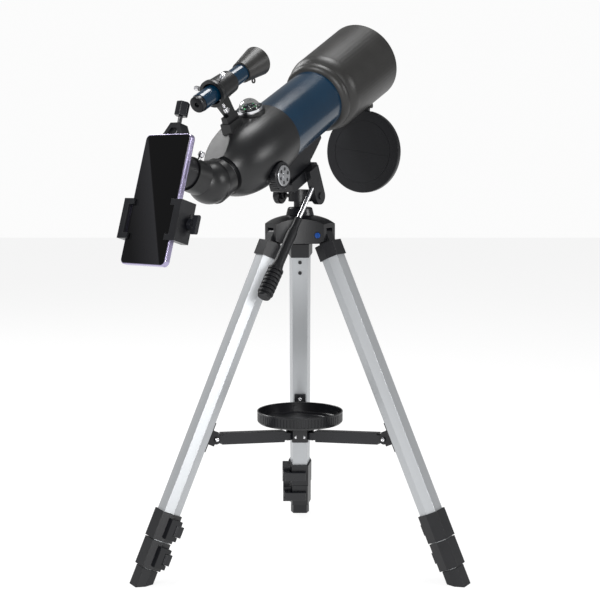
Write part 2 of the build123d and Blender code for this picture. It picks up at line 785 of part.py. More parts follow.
# ---------------------------------------------------------------- flip cap, hanging open
with BuildPart() as cap_closed:
    with BuildSketch(beside(0)):
        with BuildLine():
            Polyline(
                (shield_front - cap_skirt + 0.8, cap_radius),
                (shield_front + cap_wall + slide_gap - 1, cap_radius),
                (shield_front + cap_wall + slide_gap, cap_radius - 1),
                (shield_front + cap_wall + slide_gap, 0),
                (shield_front + slide_gap, 0),
                (shield_front + slide_gap, shield_front_radius + slide_gap),
                (shield_front - cap_skirt + 0.8, shield_front_radius + slide_gap),
                close=True,
            )
        make_face()
    revolve(axis=scope_axis)
    with BuildSketch(cap_side(-3.9)):
        with Locations((cap_pivot_t, cap_pivot_u)):
            Circle(3.0)
        with Locations((cap_pivot_t + 1.5, -(cap_radius + abs(cap_pivot_u)) / 2)):
            Rectangle(6, abs(cap_pivot_u) - cap_radius + 1.2)
    extrude(amount=7.8)
    with BuildSketch(cap_side(-10)):
        with Locations((cap_pivot_t, cap_pivot_u)):
            Circle(1.2 + shaft_gap)
    extrude(amount=20, mode=Mode.SUBTRACT)
    for lug_side in (-lug_offset, lug_offset):
        with BuildSketch(cap_side(lug_side)):
            with Locations((cap_pivot_t, -(shield_front_radius + cap_radius) / 2)):
                Rectangle(lug_length + 2 * lug_clearance, cap_radius - shield_front_radius + 3)
        extrude(amount=lug_half + lug_clearance - 0.1, both=True, mode=Mode.SUBTRACT)
cap_axis = Axis(scope_origin + forward * cap_pivot_t + cap_up * cap_pivot_u, cap_right)
cap_open = cap_closed.part.rotate(cap_axis, -cap_swing)
cap_open.label = "objective_cap"
export_step(cap_open, "parts/objective_cap.step")

with BuildPart() as cap_pin:
    with BuildSketch(cap_side(-7.5)):
        with Locations((cap_pivot_t, cap_pivot_u)):
            Circle(1.2)
    extrude(amount=15)
finish_group([dew_shield, cap_pin], "dew_shield")

# ---------------------------------------------------------------- rear housing
knob_inner = 38.0
knob_outer = 50.0
knob_radius = 17.0
knob_u = -(drawtube_radius + rack_height + focus_gear_radius + slide_gap)
with BuildPart() as rear_housing:
    with BuildSketch(beside(0)):
        with BuildLine():
            Line((housing_front, body_radius), (housing_front, 41.6))
            Spline((housing_front, 41.6), (-112, 45.2), (-150, 43.0), (-177, 34.0), (housing_rear, 26.5))
            Line((housing_rear, 26.5), (housing_rear, drawtube_radius + shaft_gap))
            Line((housing_rear, drawtube_radius + shaft_gap), (housing_rear + housing_collar, drawtube_radius + shaft_gap))
            Line((housing_rear + housing_collar, drawtube_radius + shaft_gap), (housing_rear + housing_collar, 28))
            Line((housing_rear + housing_collar, 28), (-150, 36))
            Line((-150, 36), (body_rear - 5, 36))
            Line((body_rear - 5, 36), (body_rear, 38))
            Line((body_rear, 38), (body_rear, body_radius))
            Line((body_rear, body_radius), (housing_front, body_radius))
        make_face()
    revolve(axis=scope_axis)
    with BuildSketch(Plane(scope_point(compass_t, 0, 40.5), x_dir=right, z_dir=upward)):
        Circle(compass_radius + 1.5)
    extrude(amount=compass_seat - 40.5)
    with BuildSketch(sideways(focus_shaft_t, knob_u, -37)):
        Circle(9)
    extrude(amount=74)
    with BuildSketch(across(housing_rear + housing_collar)):
        Circle(28)
    extrude(amount=body_rear - housing_rear - housing_collar, mode=Mode.SUBTRACT)
    with BuildSketch(sideways(focus_shaft_t, knob_u, -60)):
        Circle(focus_shaft_radius + shaft_gap)
    extrude(amount=120, mode=Mode.SUBTRACT)
    with BuildSketch(sideways(focus_shaft_t, knob_u, -9)):
        Circle(focus_gear_radius + 1)
    extrude(amount=18, mode=Mode.SUBTRACT)
    for knob_side in (1, -1):
        with BuildSketch(sideways(focus_shaft_t, knob_u, knob_side * (knob_inner - 0.8))):
            Circle(knob_radius + 1.2)
        extrude(amount=knob_side * 12, mode=Mode.SUBTRACT)
    facet_out = (upward * 0.80 - forward * 0.50 - right * 0.33).normalized()
    facet_point = scope_point(-160, -9, 35.5)
    split(bisect_by=Plane(facet_point, z_dir=facet_out), keep=Keep.BOTTOM)
    with BuildSketch(beside(-7)):
        with Locations((-146, 45)):
            Rectangle(26, 14)
    extrude(amount=14)
    with BuildSketch(across(housing_rear + housing_collar)):
        Circle(28)
    extrude(amount=body_rear - housing_rear - housing_collar, mode=Mode.SUBTRACT)
    with BuildSketch(across(housing_rear - 1)):
        with Locations((0, -(drawtube_radius + rack_height / 2))):
            Rectangle(rack_width + 2 * rack_clearance, rack_height + 2 * rack_clearance)
    extrude(amount=housing_collar + 2, mode=Mode.SUBTRACT)
finish(rear_housing, "rear_housing")

with BuildPart() as drawtube:
    with BuildSketch(across(drawtube_rear)):
        Circle(drawtube_radius)
        Circle(drawtube_bore, mode=Mode.SUBTRACT)
    extrude(amount=drawtube_front - drawtube_rear)
    with BuildSketch(across(housing_rear + housing_collar + 2)):
        with Locations((0, -(drawtube_radius + rack_height / 2 - 0.4))):
            Rectangle(rack_width, rack_height + 0.8)
    extrude(amount=drawtube_front - housing_rear - housing_collar - 2)
finish(drawtube, "drawtube")

with BuildPart() as focus_shaft:
    with BuildSketch(sideways(focus_shaft_t, knob_u, -knob_outer + 2)):
        Circle(focus_shaft_radius)
    extrude(amount=2 * knob_outer - 4)
    with BuildSketch(sideways(focus_shaft_t, knob_u, -6)):
        Circle(focus_gear_radius)
    extrude(amount=12)

with BuildPart() as focus_knobs:
    for knob_side in (1, -1):
        with BuildSketch(sideways(focus_shaft_t, knob_u, knob_side * knob_inner)):
            Circle(knob_radius)
            Circle(focus_shaft_radius, mode=Mode.SUBTRACT)
        extrude(amount=knob_side * (knob_outer - knob_inner - 2))
        with BuildSketch(sideways(focus_shaft_t, knob_u, knob_side * (knob_outer - 2))):
            Circle(14)
        extrude(amount=knob_side * 2)
finish_group([focus_knobs, focus_shaft], "focus_knobs")

# ================================================================ compass
compass_plane = Plane(scope_point(compass_t, 0, compass_seat), x_dir=right, z_dir=upward)
with BuildPart() as compass_base:
    with BuildSketch(compass_plane):
        Circle(compass_radius)
    extrude(amount=4)
    with BuildSketch(compass_plane.offset(1.5)):
        Circle(dome_radius - 1.4)
    extrude(amount=5, mode=Mode.SUBTRACT)
    with BuildSketch(compass_plane):
        Circle(0.8)
    extrude(amount=4)
finish(compass_base, "compass_housing")

compass_side = Plane(compass_plane.offset(4).origin, x_dir=right, z_dir=right.cross(upward))
dome_height = 11.5
dome_wall = 1.4
outer_mid = cap_middle(dome_radius, dome_height)
inner_mid = cap_middle(dome_radius - dome_wall, dome_height - dome_wall)
with BuildPart() as dome:
    with BuildSketch(compass_side):
        with BuildLine():
            ThreePointArc((dome_radius, 0), outer_mid, (0, dome_height))
            Line((0, dome_height), (0, dome_height - dome_wall))
            ThreePointArc((0, dome_height - dome_wall), inner_mid, (dome_radius - dome_wall, 0))
            Line((dome_radius - dome_wall, 0), (dome_radius, 0))
        make_face()
    revolve(axis=Axis(compass_plane.origin, upward))
finish(dome, "compass_dome")

with BuildPart() as card:
    with BuildSketch(compass_plane.offset(4.6)):
        Circle(dome_radius - 3)
    extrude(amount=1.2)
    with BuildSketch(compass_plane.offset(5.8)):
        Circle(6.5)
    extrude(amount=2.5, taper=30)
finish(card, "compass_card")

# ================================================================ finder
finder_axis = Axis(scope_point(0, 0, finder_height), forward)
with BuildPart() as finder_tube:
    with BuildSketch(across(finder_rear + 6, finder_height)):
        Circle(finder_radius)
        Circle(finder_radius - 1.2, mode=Mode.SUBTRACT)
    extrude(amount=92 + 8)
finish(finder_tube, "finder_tube")

with BuildPart() as finder_hood:
    with BuildSketch(beside(0)):
        with BuildLine():
            base = finder_height
            Polyline(
                (-102, base + finder_radius),
                (-102, base + 13.0),
                (-97, base + 13.6),
                (finder_front - 1, base + 18.6),
                (finder_front, base + 18.0),
                (finder_front, base + 16.8),
                (-90, base + 12.0),
                (-94, base + 12.0),
                (-94, base + finder_radius),
                close=True,
            )
        make_face()
    revolve(axis=finder_axis)
    with BuildSketch(sideways(-82, finder_height - 18.5, -0.8)):
        Circle(3.4)
        Circle(2.0, mode=Mode.SUBTRACT)
    extrude(amount=1.6)
finish(finder_hood, "finder_hood")

with BuildPart() as finder_lenses:
    with BuildSketch(across(-94, finder_height)):
        Circle(12.0)
    extrude(amount=3)
finish(finder_lenses, "finder_lens")

with BuildPart() as finder_eye:
    with BuildSketch(beside(0)):
        with BuildLine():
            Polyline(
                (finder_rear, base + 3.0),
                (finder_rear, base + 9.0),
                (finder_rear + 1, base + 10.0),
                (finder_rear + 6, base + 10.0),
                (finder_rear + 6, base + finder_radius - 1.2),
                (finder_rear + 14, base + finder_radius - 1.2),
                (finder_rear + 14, base + 7.5),
                (finder_rear + 3, base + 3.0),
                close=True,
            )
        make_face()
    revolve(axis=finder_axis)
finish(finder_eye, "finder_eyepiece")

ring_bore = finder_radius + 2.2
screw_spot = finder_ring_rear + 8
with BuildPart() as finder_ring:
    with BuildSketch(beside(0)):
        with BuildLine():
            Polyline(
                (finder_ring_rear, base + ring_bore),
                (finder_ring_rear, base + 17.0),
                (finder_ring_rear + 4, base + 17.0),
                (finder_ring_rear + 8, base + 15.4),
                (finder_ring_front, base + 13.8),
                (finder_ring_front, base + finder_radius),
                (finder_ring_front - 6, base + finder_radius),
                (finder_ring_front - 6, base + ring_bore),
                close=True,
            )
        make_face()
    revolve(axis=finder_axis)
    with BuildSketch(beside(-4)):
        with BuildLine():
            Polyline(
                (-163, base - 15.0),
                (-143, base - 14.0),
                (-138, 60),
                (-134, 60),
                (-134, 52),
                (-158, 52),
                (-158, 60),
                (-152, 60),
                close=True,
            )
        make_face()
    extrude(amount=8)
    for screw_angle in (50, 170, 290):
        radial = (right * math.cos(math.radians(screw_angle)) + upward * math.sin(math.radians(screw_angle)))
        start = scope_point(screw_spot, 0, finder_height) + radial * (finder_radius + 1)
        with BuildSketch(Plane(start, z_dir=radial)):
            Circle(1.5)
        extrude(amount=12, mode=Mode.SUBTRACT)
finish(finder_ring, "finder_ring")

with BuildPart() as finder_screws:
    for screw_angle in (50, 170, 290):
        radial = (right * math.cos(math.radians(screw_angle)) + upward * math.sin(math.radians(screw_angle)))
        start = scope_point(screw_spot, 0, finder_height) + radial * finder_radius
        with BuildSketch(Plane(start, z_dir=radial)):
            Circle(1.5)
        extrude(amount=12)
        with BuildSketch(Plane(start + radial * 11, z_dir=radial)):
            Circle(3.4)
        extrude(amount=7)
finish(finder_screws, "finder_screws")

# ================================================================ diagonal and eyepiece
ball_centre = scope_point(ball_t, 0, ball_u)
roll = math.radians(diagonal_roll)
bend = math.radians(diagonal_bend)
lift = upward * math.cos(roll) - right * math.sin(roll)
eye_way = forward * -math.cos(bend) + lift * math.sin(bend)
eye_up = forward * math.sin(bend) + lift * math.cos(bend)
eye_left = eye_way.cross(eye_up)
twist = math.radians(holder_roll)
holder_up = eye_up * math.cos(twist) - eye_left * math.sin(twist)
holder_right = holder_up.cross(eye_way)


def eye_plane(distance):
    """Plane square to the eyepiece: X to the observer's right, Y toward the holder's top."""
    return Plane(ball_centre + eye_way * distance, x_dir=holder_right, z_dir=eye_way)


flange_front = -193.5
socket_end = 36.0
eyepiece_end = 70.0
ball_pole = (eye_way - forward).normalized()
with BuildPart() as diagonal:
    with BuildSketch(Plane(ball_centre, x_dir=ball_pole, z_dir=ball_pole.cross(forward))):
        with BuildLine():
            Line((-ball_radius, 0), (ball_radius, 0))
            ThreePointArc((ball_radius, 0), (0, ball_radius), (-ball_radius, 0))
        make_face()
    revolve(axis=Axis(ball_centre, ball_pole))
    with BuildSketch(across(ball_t)):
        Circle(24.5)
    extrude(amount=flange_front - ball_t)
    with BuildSketch(eye_plane(0)):
        Circle(20.5)
    extrude(amount=socket_end)
    with BuildSketch(across(ball_t + 9)):
        Circle(drawtube_radius + shaft_gap)
    extrude(amount=40, mode=Mode.SUBTRACT)
    with BuildSketch(eye_plane(13)):
        Circle(eyepiece_radius + shaft_gap)
    extrude(amount=40, mode=Mode.SUBTRACT)
    with BuildSketch(across(ball_t)):
        Circle(12)
    extrude(amount=20, mode=Mode.SUBTRACT)
    with BuildSketch(eye_plane(0)):
        Circle(12)
    extrude(amount=20, mode=Mode.SUBTRACT)
    screw_way = holder_right * 0.35 + holder_up * 0.94
    screw_way = screw_way.normalized()
    screw_root = ball_centre + eye_way * 30
    with BuildSketch(Plane(screw_root + screw_way * 14, z_dir=screw_way)):
        Circle(2.0 + shaft_gap)
    extrude(amount=20, mode=Mode.SUBTRACT)
finish(diagonal, "erecting_diagonal")

with BuildPart() as thumbscrew:
    with BuildSketch(Plane(screw_root + screw_way * (eyepiece_radius + 0.3), z_dir=screw_way)):
        Circle(2.0)
    extrude(amount=8)
    with BuildSketch(Plane(screw_root + screw_way * 23, z_dir=screw_way)):
        Circle(3.6)
    extrude(amount=7)
finish(thumbscrew, "eyepiece_thumbscrew")

with BuildPart() as eyepiece:
    with BuildSketch(eye_plane(14)):
        Circle(eyepiece_radius)
        Circle(eyepiece_radius - 2.5, mode=Mode.SUBTRACT)
    extrude(amount=socket_end - 14)
    with BuildSketch(eye_plane(socket_end + 0.2)):
        Circle(18.2)
        Circle(eyepiece_radius - 2.5, mode=Mode.SUBTRACT)
    extrude(amount=eyepiece_end - socket_end - 0.2)
    with BuildSketch(eye_plane(socket_end - 0.2)):
        Circle(eyepiece_radius)
        Circle(eyepiece_radius - 2.5, mode=Mode.SUBTRACT)
    extrude(amount=1)
    with BuildSketch(eye_plane(eyepiece_end - 6)):
        Circle(eyepiece_radius - 2)
    extrude(amount=3)
finish(eyepiece, "eyepiece")

# ================================================================ phone holder
plate_front = phone_back - slide_gap
plate_thickness = 4.0
plate_back = plate_front - plate_thickness
left_edge = phone_centre_x - phone_width / 2
right_edge = phone_centre_x + phone_width / 2
clamp_z = 58.0
clamp_depth = plate_back - clamp_z
with BuildPart() as holder:
    with BuildSketch(eye_plane(plate_back)):
        with Locations((0, (holder_y + 24) / 2)):
            RectangleRounded(42, 24 - holder_y + 12, 8)
        Circle(eyepiece_radius - 5, mode=Mode.SUBTRACT)
        with Locations(((left_edge + 18) / 2 + 1, holder_y)):
            Rectangle(18 - left_edge + 14, 24)
    extrude(amount=plate_thickness)
    with BuildSketch(eye_plane(clamp_z)):
        with BuildLine():
            Polyline(
                (-14, -31), (14, -31), (24, -16), (24, 24), (7, 50), (-7, 50), (-24, 24), (-24, -16), close=True
            )
        make_face()
        with BuildLine():
            Polyline((0, -26.4), (18.6, -7.8), (18.6, 22), (4, 44), (-4, 44), (-18.6, 22), (-18.6, -7.8), close=True)
        make_face(mode=Mode.SUBTRACT)
    extrude(amount=clamp_depth)
    with BuildSketch(Plane(eye_plane(0).from_local_coords((0, 30, clamp_z + clamp_depth / 2)), z_dir=holder_up)):
        Circle(2.5 + shaft_gap)
    extrude(amount=30, mode=Mode.SUBTRACT)
    with BuildSketch(eye_plane(plate_back)):
        with Locations((left_edge - 4.5 - slide_gap, holder_y)):
            Rectangle(9, jaw_height)
    extrude(amount=phone_thickness + plate_thickness + slide_gap + 1)
    with BuildSketch(eye_plane(phone_back + phone_thickness + 1)):
        with Locations((left_edge - 4.5 - slide_gap, holder_y)):
            Rectangle(9, jaw_height)
        with Locations((left_edge - 1, holder_y + finger_offset), (left_edge - 1, holder_y - finger_offset)):
            Rectangle(16, finger_width)
    extrude(amount=finger_thickness)
finish(holder, "phone_holder")

with BuildPart() as clamp_jaw:
    jaw_top = 29.5
    with BuildSketch(eye_plane(clamp_z + 1)):
        with BuildLine():
            Polyline(
                (0, jaw_top), (-9, jaw_top), (-16.5, 18.5), (-16.5, 10.5), (0, 26.4), (16.5, 10.5),
                (16.5, 18.5), (9, jaw_top), close=True
            )
        make_face()
    extrude(amount=clamp_depth - 2)
finish(clamp_jaw, "eyepiece_clamp_jaw")

clamp_screw_plane = eye_plane(0).from_local_coords((0, jaw_top, clamp_z + clamp_depth / 2))
with BuildPart() as clamp_screw:
    with BuildSketch(Plane(clamp_screw_plane, x_dir=holder_right, z_dir=holder_up)):
        Circle(2.5)
    extrude(amount=32)
    with BuildSketch(Plane(clamp_screw_plane + holder_up * 30, x_dir=holder_right, z_dir=holder_up)):
        RegularPolygon(8.2, 6)
    extrude(amount=17)
finish(clamp_screw, "eyepiece_clamp_knob")

with BuildPart() as jaw:
    with BuildSketch(eye_plane(plate_back - 6 - slide_gap)):
        with Locations((right_edge + 5 + slide_gap - 10, holder_y)):
            Rectangle(34, 20)
    extrude(amount=6)
    with BuildSketch(eye_plane(plate_back - 6 - slide_gap)):
        with Locations((right_edge + 5.5 + slide_gap, holder_y)):
            Rectangle(11, jaw_height)
    extrude(amount=phone_back + phone_thickness + 1 - plate_back + 6 + slide_gap)
    with BuildSketch(eye_plane(phone_back + phone_thickness + 1)):
        with Locations((right_edge + 5.5 + slide_gap, holder_y)):
            Rectangle(11, jaw_height)
        with Locations((right_edge + 2.5, holder_y + finger_offset), (right_edge + 2.5, holder_y - finger_offset)):
            Rectangle(17, finger_width)
    extrude(amount=finger_thickness)
    with BuildSketch(Plane(eye_plane(0).from_local_coords((right_edge + 4, holder_y - 1, phone_back - 6)), z_dir=holder_right)):
        Circle(3.0 + shaft_gap)
    extrude(amount=12, mode=Mode.SUBTRACT)
finish(jaw, "phone_jaw")

wing_root = eye_plane(0).from_local_coords((right_edge + 5, holder_y - 1, phone_back - 6))
with BuildPart() as wing:
    with BuildSketch(Plane(wing_root, x_dir=holder_up, z_dir=holder_right)):
        Circle(3.0)
    extrude(amount=9)
    with BuildSketch(Plane(wing_root + holder_right * 8, x_dir=holder_up, z_dir=holder_right)):
        Circle(6.5)
    extrude(amount=6)
    with BuildSketch(Plane(wing_root + holder_right * 12, x_dir=holder_up, z_dir=holder_right)):
        RectangleRounded(22, 5, 2.4)
    extrude(amount=8)
finish(wing, "phone_jaw_wing_knob")

with BuildPart() as phone:
    with BuildSketch(eye_plane(phone_back)):
        with Locations((phone_centre_x, phone_centre_y)):
            RectangleRounded(phone_width, phone_height, phone_radius)
    extrude(amount=phone_thickness)
finish(phone, "phone")
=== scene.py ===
"""A short refractor telescope on a folding tripod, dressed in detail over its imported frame."""

import json
import logging
import math
from dataclasses import dataclass, field
from enum import Enum
from typing import Callable, Dict, List, Sequence, Tuple

import bpy
from mathutils import Matrix, Vector

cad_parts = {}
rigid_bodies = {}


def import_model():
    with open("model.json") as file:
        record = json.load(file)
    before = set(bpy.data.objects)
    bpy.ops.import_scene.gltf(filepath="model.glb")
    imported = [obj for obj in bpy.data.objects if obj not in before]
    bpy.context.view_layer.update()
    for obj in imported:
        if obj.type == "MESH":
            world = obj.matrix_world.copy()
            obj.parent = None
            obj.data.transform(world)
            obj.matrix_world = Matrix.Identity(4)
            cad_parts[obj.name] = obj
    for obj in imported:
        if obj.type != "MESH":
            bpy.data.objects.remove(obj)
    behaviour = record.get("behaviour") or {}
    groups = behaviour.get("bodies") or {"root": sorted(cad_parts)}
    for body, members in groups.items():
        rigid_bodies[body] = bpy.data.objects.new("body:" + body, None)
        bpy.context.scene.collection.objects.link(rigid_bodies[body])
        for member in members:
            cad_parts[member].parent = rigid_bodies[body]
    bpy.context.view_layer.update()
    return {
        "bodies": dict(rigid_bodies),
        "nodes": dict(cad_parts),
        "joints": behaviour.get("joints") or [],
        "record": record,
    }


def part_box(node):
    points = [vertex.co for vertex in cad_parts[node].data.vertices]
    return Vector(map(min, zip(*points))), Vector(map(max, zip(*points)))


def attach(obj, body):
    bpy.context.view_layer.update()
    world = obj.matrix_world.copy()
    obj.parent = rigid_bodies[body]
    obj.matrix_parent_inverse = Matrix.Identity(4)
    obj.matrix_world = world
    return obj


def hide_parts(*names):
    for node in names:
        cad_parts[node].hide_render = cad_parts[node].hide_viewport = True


logging.basicConfig(level=logging.INFO, format="%(levelname)s %(message)s")
LOG = logging.getLogger("telescope")

MM = 0.001
Point = Tuple[float, float, float]
Profile = Sequence[Tuple[float, float]]


class Side(Enum):
    """The three legs, by the side of the tripod on which they stand."""

    REAR = "rear"
    LEFT = "left"
    RIGHT = "right"


# ---------------------------------------------------------------- finishes


@dataclass(frozen=True)
class Finish:
    """A surface finish that can build its own node material.

    Attributes:
        name: Name of the material.
        colour: Base colour in linear light.
        roughness: Mean roughness.
        metallic: How far the surface is bare metal, from 0 to 1.
        grain_scale: Size of the grain, as cycles per metre.
        grain_depth: Strength of the grain's bump.
        tint: How far the colour varies over the surface.
        coat: Weight of the clear coat.
        specular: Strength of the bare surface's reflection.
    """

    name: str
    colour: Point
    roughness: float = 0.5
    metallic: float = 0.0
    grain_scale: float = 900.0
    grain_depth: float = 0.15
    tint: float = 0.12
    coat: float = 0.0
    specular: float = 0.35

    def shader(self, tree: bpy.types.NodeTree) -> bpy.types.Node:
        """Return the tree's Principled shader with this finish's constants set."""
        shader = tree.nodes["Principled BSDF"]
        shader.inputs["Metallic"].default_value = self.metallic
        shader.inputs["Coat Weight"].default_value = self.coat
        shader.inputs["Coat Roughness"].default_value = 0.08
        shader.inputs["Specular IOR Level"].default_value = self.specular
        return shader

    def coordinates(self, tree: bpy.types.NodeTree) -> bpy.types.NodeSocket:
        """Return the socket that carries the pattern's coordinates."""
        return tree.nodes.new("ShaderNodeTexCoord").outputs["Object"]

    def build(self) -> bpy.types.Material:
        """Make the material: mottled colour, uneven gloss and a fine bump.

        Returns:
            The new material.
        """
        material = bpy.data.materials.new(self.name)
        material.use_nodes = True
        tree = material.node_tree
        shader = self.shader(tree)
        place = self.coordinates(tree)
        cloud = tree.nodes.new("ShaderNodeTexNoise")
        cloud.inputs["Scale"].default_value = 38.0
        cloud.inputs["Detail"].default_value = 4.0
        tree.links.new(place, cloud.inputs["Vector"])
        ramp = tree.nodes.new("ShaderNodeValToRGB")
        ramp.color_ramp.elements[0].position = 0.35
        ramp.color_ramp.elements[1].position = 0.65
        ramp.color_ramp.elements[0].color = (*[c * (1 - self.tint) for c in self.colour], 1)
        ramp.color_ramp.elements[1].color = (*[min(1.0, c * (1 + self.tint)) for c in self.colour], 1)
        tree.links.new(cloud.outputs["Fac"], ramp.inputs["Fac"])
        tree.links.new(ramp.outputs["Color"], shader.inputs["Base Color"])
        gloss = tree.nodes.new("ShaderNodeMapRange")
        gloss.inputs["To Min"].default_value = self.roughness * 0.88
        gloss.inputs["To Max"].default_value = min(1.0, self.roughness * 1.12)
        tree.links.new(cloud.outputs["Fac"], gloss.inputs["Value"])
        tree.links.new(gloss.outputs["Result"], shader.inputs["Roughness"])
        grain = tree.nodes.new("ShaderNodeTexNoise")
        grain.inputs["Scale"].default_value = self.grain_scale
        grain.inputs["Detail"].default_value = 2.0
        tree.links.new(place, grain.inputs["Vector"])
        bump = tree.nodes.new("ShaderNodeBump")
        bump.inputs["Strength"].default_value = self.grain_depth
        bump.inputs["Distance"].default_value = 0.0002
        tree.links.new(grain.outputs["Fac"], bump.inputs["Height"])
        tree.links.new(bump.outputs["Normal"], shader.inputs["Normal"])
        self.embellish(tree, shader, place)
        return material

    def embellish(self, tree: bpy.types.NodeTree, shader: bpy.types.Node, place: bpy.types.NodeSocket) -> None:
        """Add what a special finish has beyond the plain one."""


@dataclass(frozen=True)
class DrawnMetal(Finish):
    """Metal drawn along one direction, with fine streaks that follow it.

    Attributes:
        along: Direction of drawing.
    """

    along: Point = (0.0, 0.0, 1.0)

    def coordinates(self, tree: bpy.types.NodeTree) -> bpy.types.NodeSocket:
        """Return coordinates turned along the metal and squeezed across it."""
        source = tree.nodes.new("ShaderNodeTexCoord")
        turn = tree.nodes.new("ShaderNodeMapping")
        quaternion = Vector(self.along).rotation_difference(Vector((0, 0, 1)))
        turn.inputs["Rotation"].default_value = quaternion.to_euler()
        squeeze = tree.nodes.new("ShaderNodeMapping")
        squeeze.inputs["Scale"].default_value = (1.0, 1.0, 0.03)
        tree.links.new(source.outputs["Object"], turn.inputs["Vector"])
        tree.links.new(turn.outputs["Vector"], squeeze.inputs["Vector"])
        return squeeze.outputs["Vector"]


@dataclass(frozen=True)
class ClearGlass(Finish):
    """Clear glass or dome plastic that lets light through."""

    def shader(self, tree: bpy.types.NodeTree) -> bpy.types.Node:
        """Return the shader set to pass light."""
        shader = super().shader(tree)
        shader.inputs["Transmission Weight"].default_value = 1.0
        shader.inputs["IOR"].default_value = 1.42
        return shader


@dataclass(frozen=True)
class PaleFloor(Finish):
    """A white floor that glows a little, as a sheet lit from below does."""

    def shader(self, tree: bpy.types.NodeTree) -> bpy.types.Node:
        """Return the shader with its soft glow."""
        shader = super().shader(tree)
        shader.inputs["Emission Color"].default_value = (1.0, 1.0, 1.0, 1.0)
        shader.inputs["Emission Strength"].default_value = 0.84
        return shader


@dataclass(frozen=True)
class ScreenGlass(Finish):
    """Dark display glass with one pale slanting band of painted reflection on it.

    Attributes:
        centre: Middle of the screen.
        across: Direction across the screen.
        upright: Direction up the screen.
    """

    centre: Point = (0.0, 0.0, 0.0)
    across: Point = (1.0, 0.0, 0.0)
    upright: Point = (0.0, 0.0, 1.0)

    def embellish(self, tree: bpy.types.NodeTree, shader: bpy.types.Node, place: bpy.types.NodeSocket) -> None:
        """Lay a soft pale wedge of painted reflection over the screen's left side."""
        offset = tree.nodes.new("ShaderNodeVectorMath")
        offset.operation = "SUBTRACT"
        offset.inputs[1].default_value = self.centre
        tree.links.new(place, offset.inputs[0])
        slant = Vector(self.across) + Vector(self.upright) * 0.42
        reflection_band = tree.nodes.new("ShaderNodeVectorMath")
        reflection_band.operation = "DOT_PRODUCT"
        reflection_band.inputs[1].default_value = slant
        tree.links.new(offset.outputs["Vector"], reflection_band.inputs[0])
        # Painted reflection: this ramp lays the pale band of reflected light into the screen's base colour.
        edge = tree.nodes.new("ShaderNodeValToRGB")
        edge.color_ramp.elements[0].position = 0.530
        edge.color_ramp.elements[0].color = (0.016, 0.016, 0.018, 1)
        edge.color_ramp.elements[1].position = 0.536
        edge.color_ramp.elements[1].color = (0.0010, 0.0010, 0.0013, 1)
        low = edge.color_ramp.elements.new(0.33)
        low.color = (0.003, 0.003, 0.0035, 1)
        shift = tree.nodes.new("ShaderNodeMapRange")
        shift.inputs["From Min"].default_value = -0.12
        shift.inputs["From Max"].default_value = 0.10
        tree.links.new(reflection_band.outputs["Value"], shift.inputs["Value"])
        tree.links.new(shift.outputs["Result"], edge.inputs["Fac"])
        tree.links.new(edge.outputs["Color"], shader.inputs["Base Color"])


BLACK = Finish("moulded_black", (0.0040, 0.0043, 0.0060), 0.34, grain_depth=0.12, tint=0.12, specular=0.45)
SATIN_BLACK = Finish("satin_black", (0.0050, 0.0055, 0.0080), 0.27, grain_depth=0.07, tint=0.12, specular=0.5)
DARK_GREY = Finish(
    "matt_dark_grey", (0.016, 0.0155, 0.0148), 0.40, grain_scale=1800.0, grain_depth=0.14, tint=0.06, specular=0.45
)
HOUSING = Finish(
    "housing_black", (0.0050, 0.0053, 0.0060), 0.36, grain_scale=1800.0, grain_depth=0.12, tint=0.08, specular=0.5
)
# The oval flat's lighter colour is a painted sheen of reflected light. Its higher roughness is the flat's own satin.
FACET_PAINTED_SHEEN = Finish(
    "satin_facet_painted_sheen", (0.012, 0.012, 0.013), 0.50, grain_scale=1800.0, grain_depth=0.10, tint=0.08, specular=0.5
)
RUBBER = Finish("ribbed_rubber", (0.006, 0.0064, 0.008), 0.50, grain_scale=700.0, grain_depth=0.45)
NAVY = Finish(
    "navy_lacquer", (0.0005, 0.018, 0.042), 0.22, grain_scale=2600.0, grain_depth=0.0, tint=0.05, coat=0.3, specular=0.4
)
CHROME = Finish("polished_steel", (0.72, 0.72, 0.74), 0.16, 1.0, grain_depth=0.05, tint=0.05)
STEEL = Finish("turned_steel", (0.55, 0.56, 0.58), 0.28, 1.0, grain_depth=0.10, tint=0.08)
BLUE_HEAD = Finish("blue_screw", (0.010, 0.075, 0.34), 0.30, 0.3, coat=0.5)
LILAC = Finish("lilac_rim", (0.42, 0.38, 0.56), 0.22, 0.9, grain_depth=0.03, tint=0.1)
CARD_GREEN = Finish("compass_green", (0.01, 0.42, 0.10), 0.35, grain_depth=0.02)
CARD_WHITE = Finish("compass_white", (0.70, 0.72, 0.70), 0.35, grain_depth=0.02)
CARD_DARK = Finish("compass_dark", (0.012, 0.020, 0.026), 0.25, grain_depth=0.02)
LENS = ClearGlass("coated_lens", (0.82, 0.92, 0.95), 0.03, grain_depth=0.0)
DOME = ClearGlass("clear_dome", (0.96, 0.98, 0.98), 0.02, grain_depth=0.0)


class Paintshop:
    """Builds each finish once and hands out its material."""

    def __init__(self) -> None:
        """Start with no materials made."""
        self.made: Dict[str, bpy.types.Material] = {}

    def material(self, finish: Finish) -> bpy.types.Material:
        """Return the finish's material, making it the first time."""
        if finish.name not in self.made:
            self.made[finish.name] = finish.build()
        return self.made[finish.name]

    def coat(self, piece: bpy.types.Object, finish: Finish) -> None:
        """Put one finish on the whole of a piece."""
        piece.data.materials.clear()
        piece.data.materials.append(self.material(finish))


# ---------------------------------------------------------------- workbench


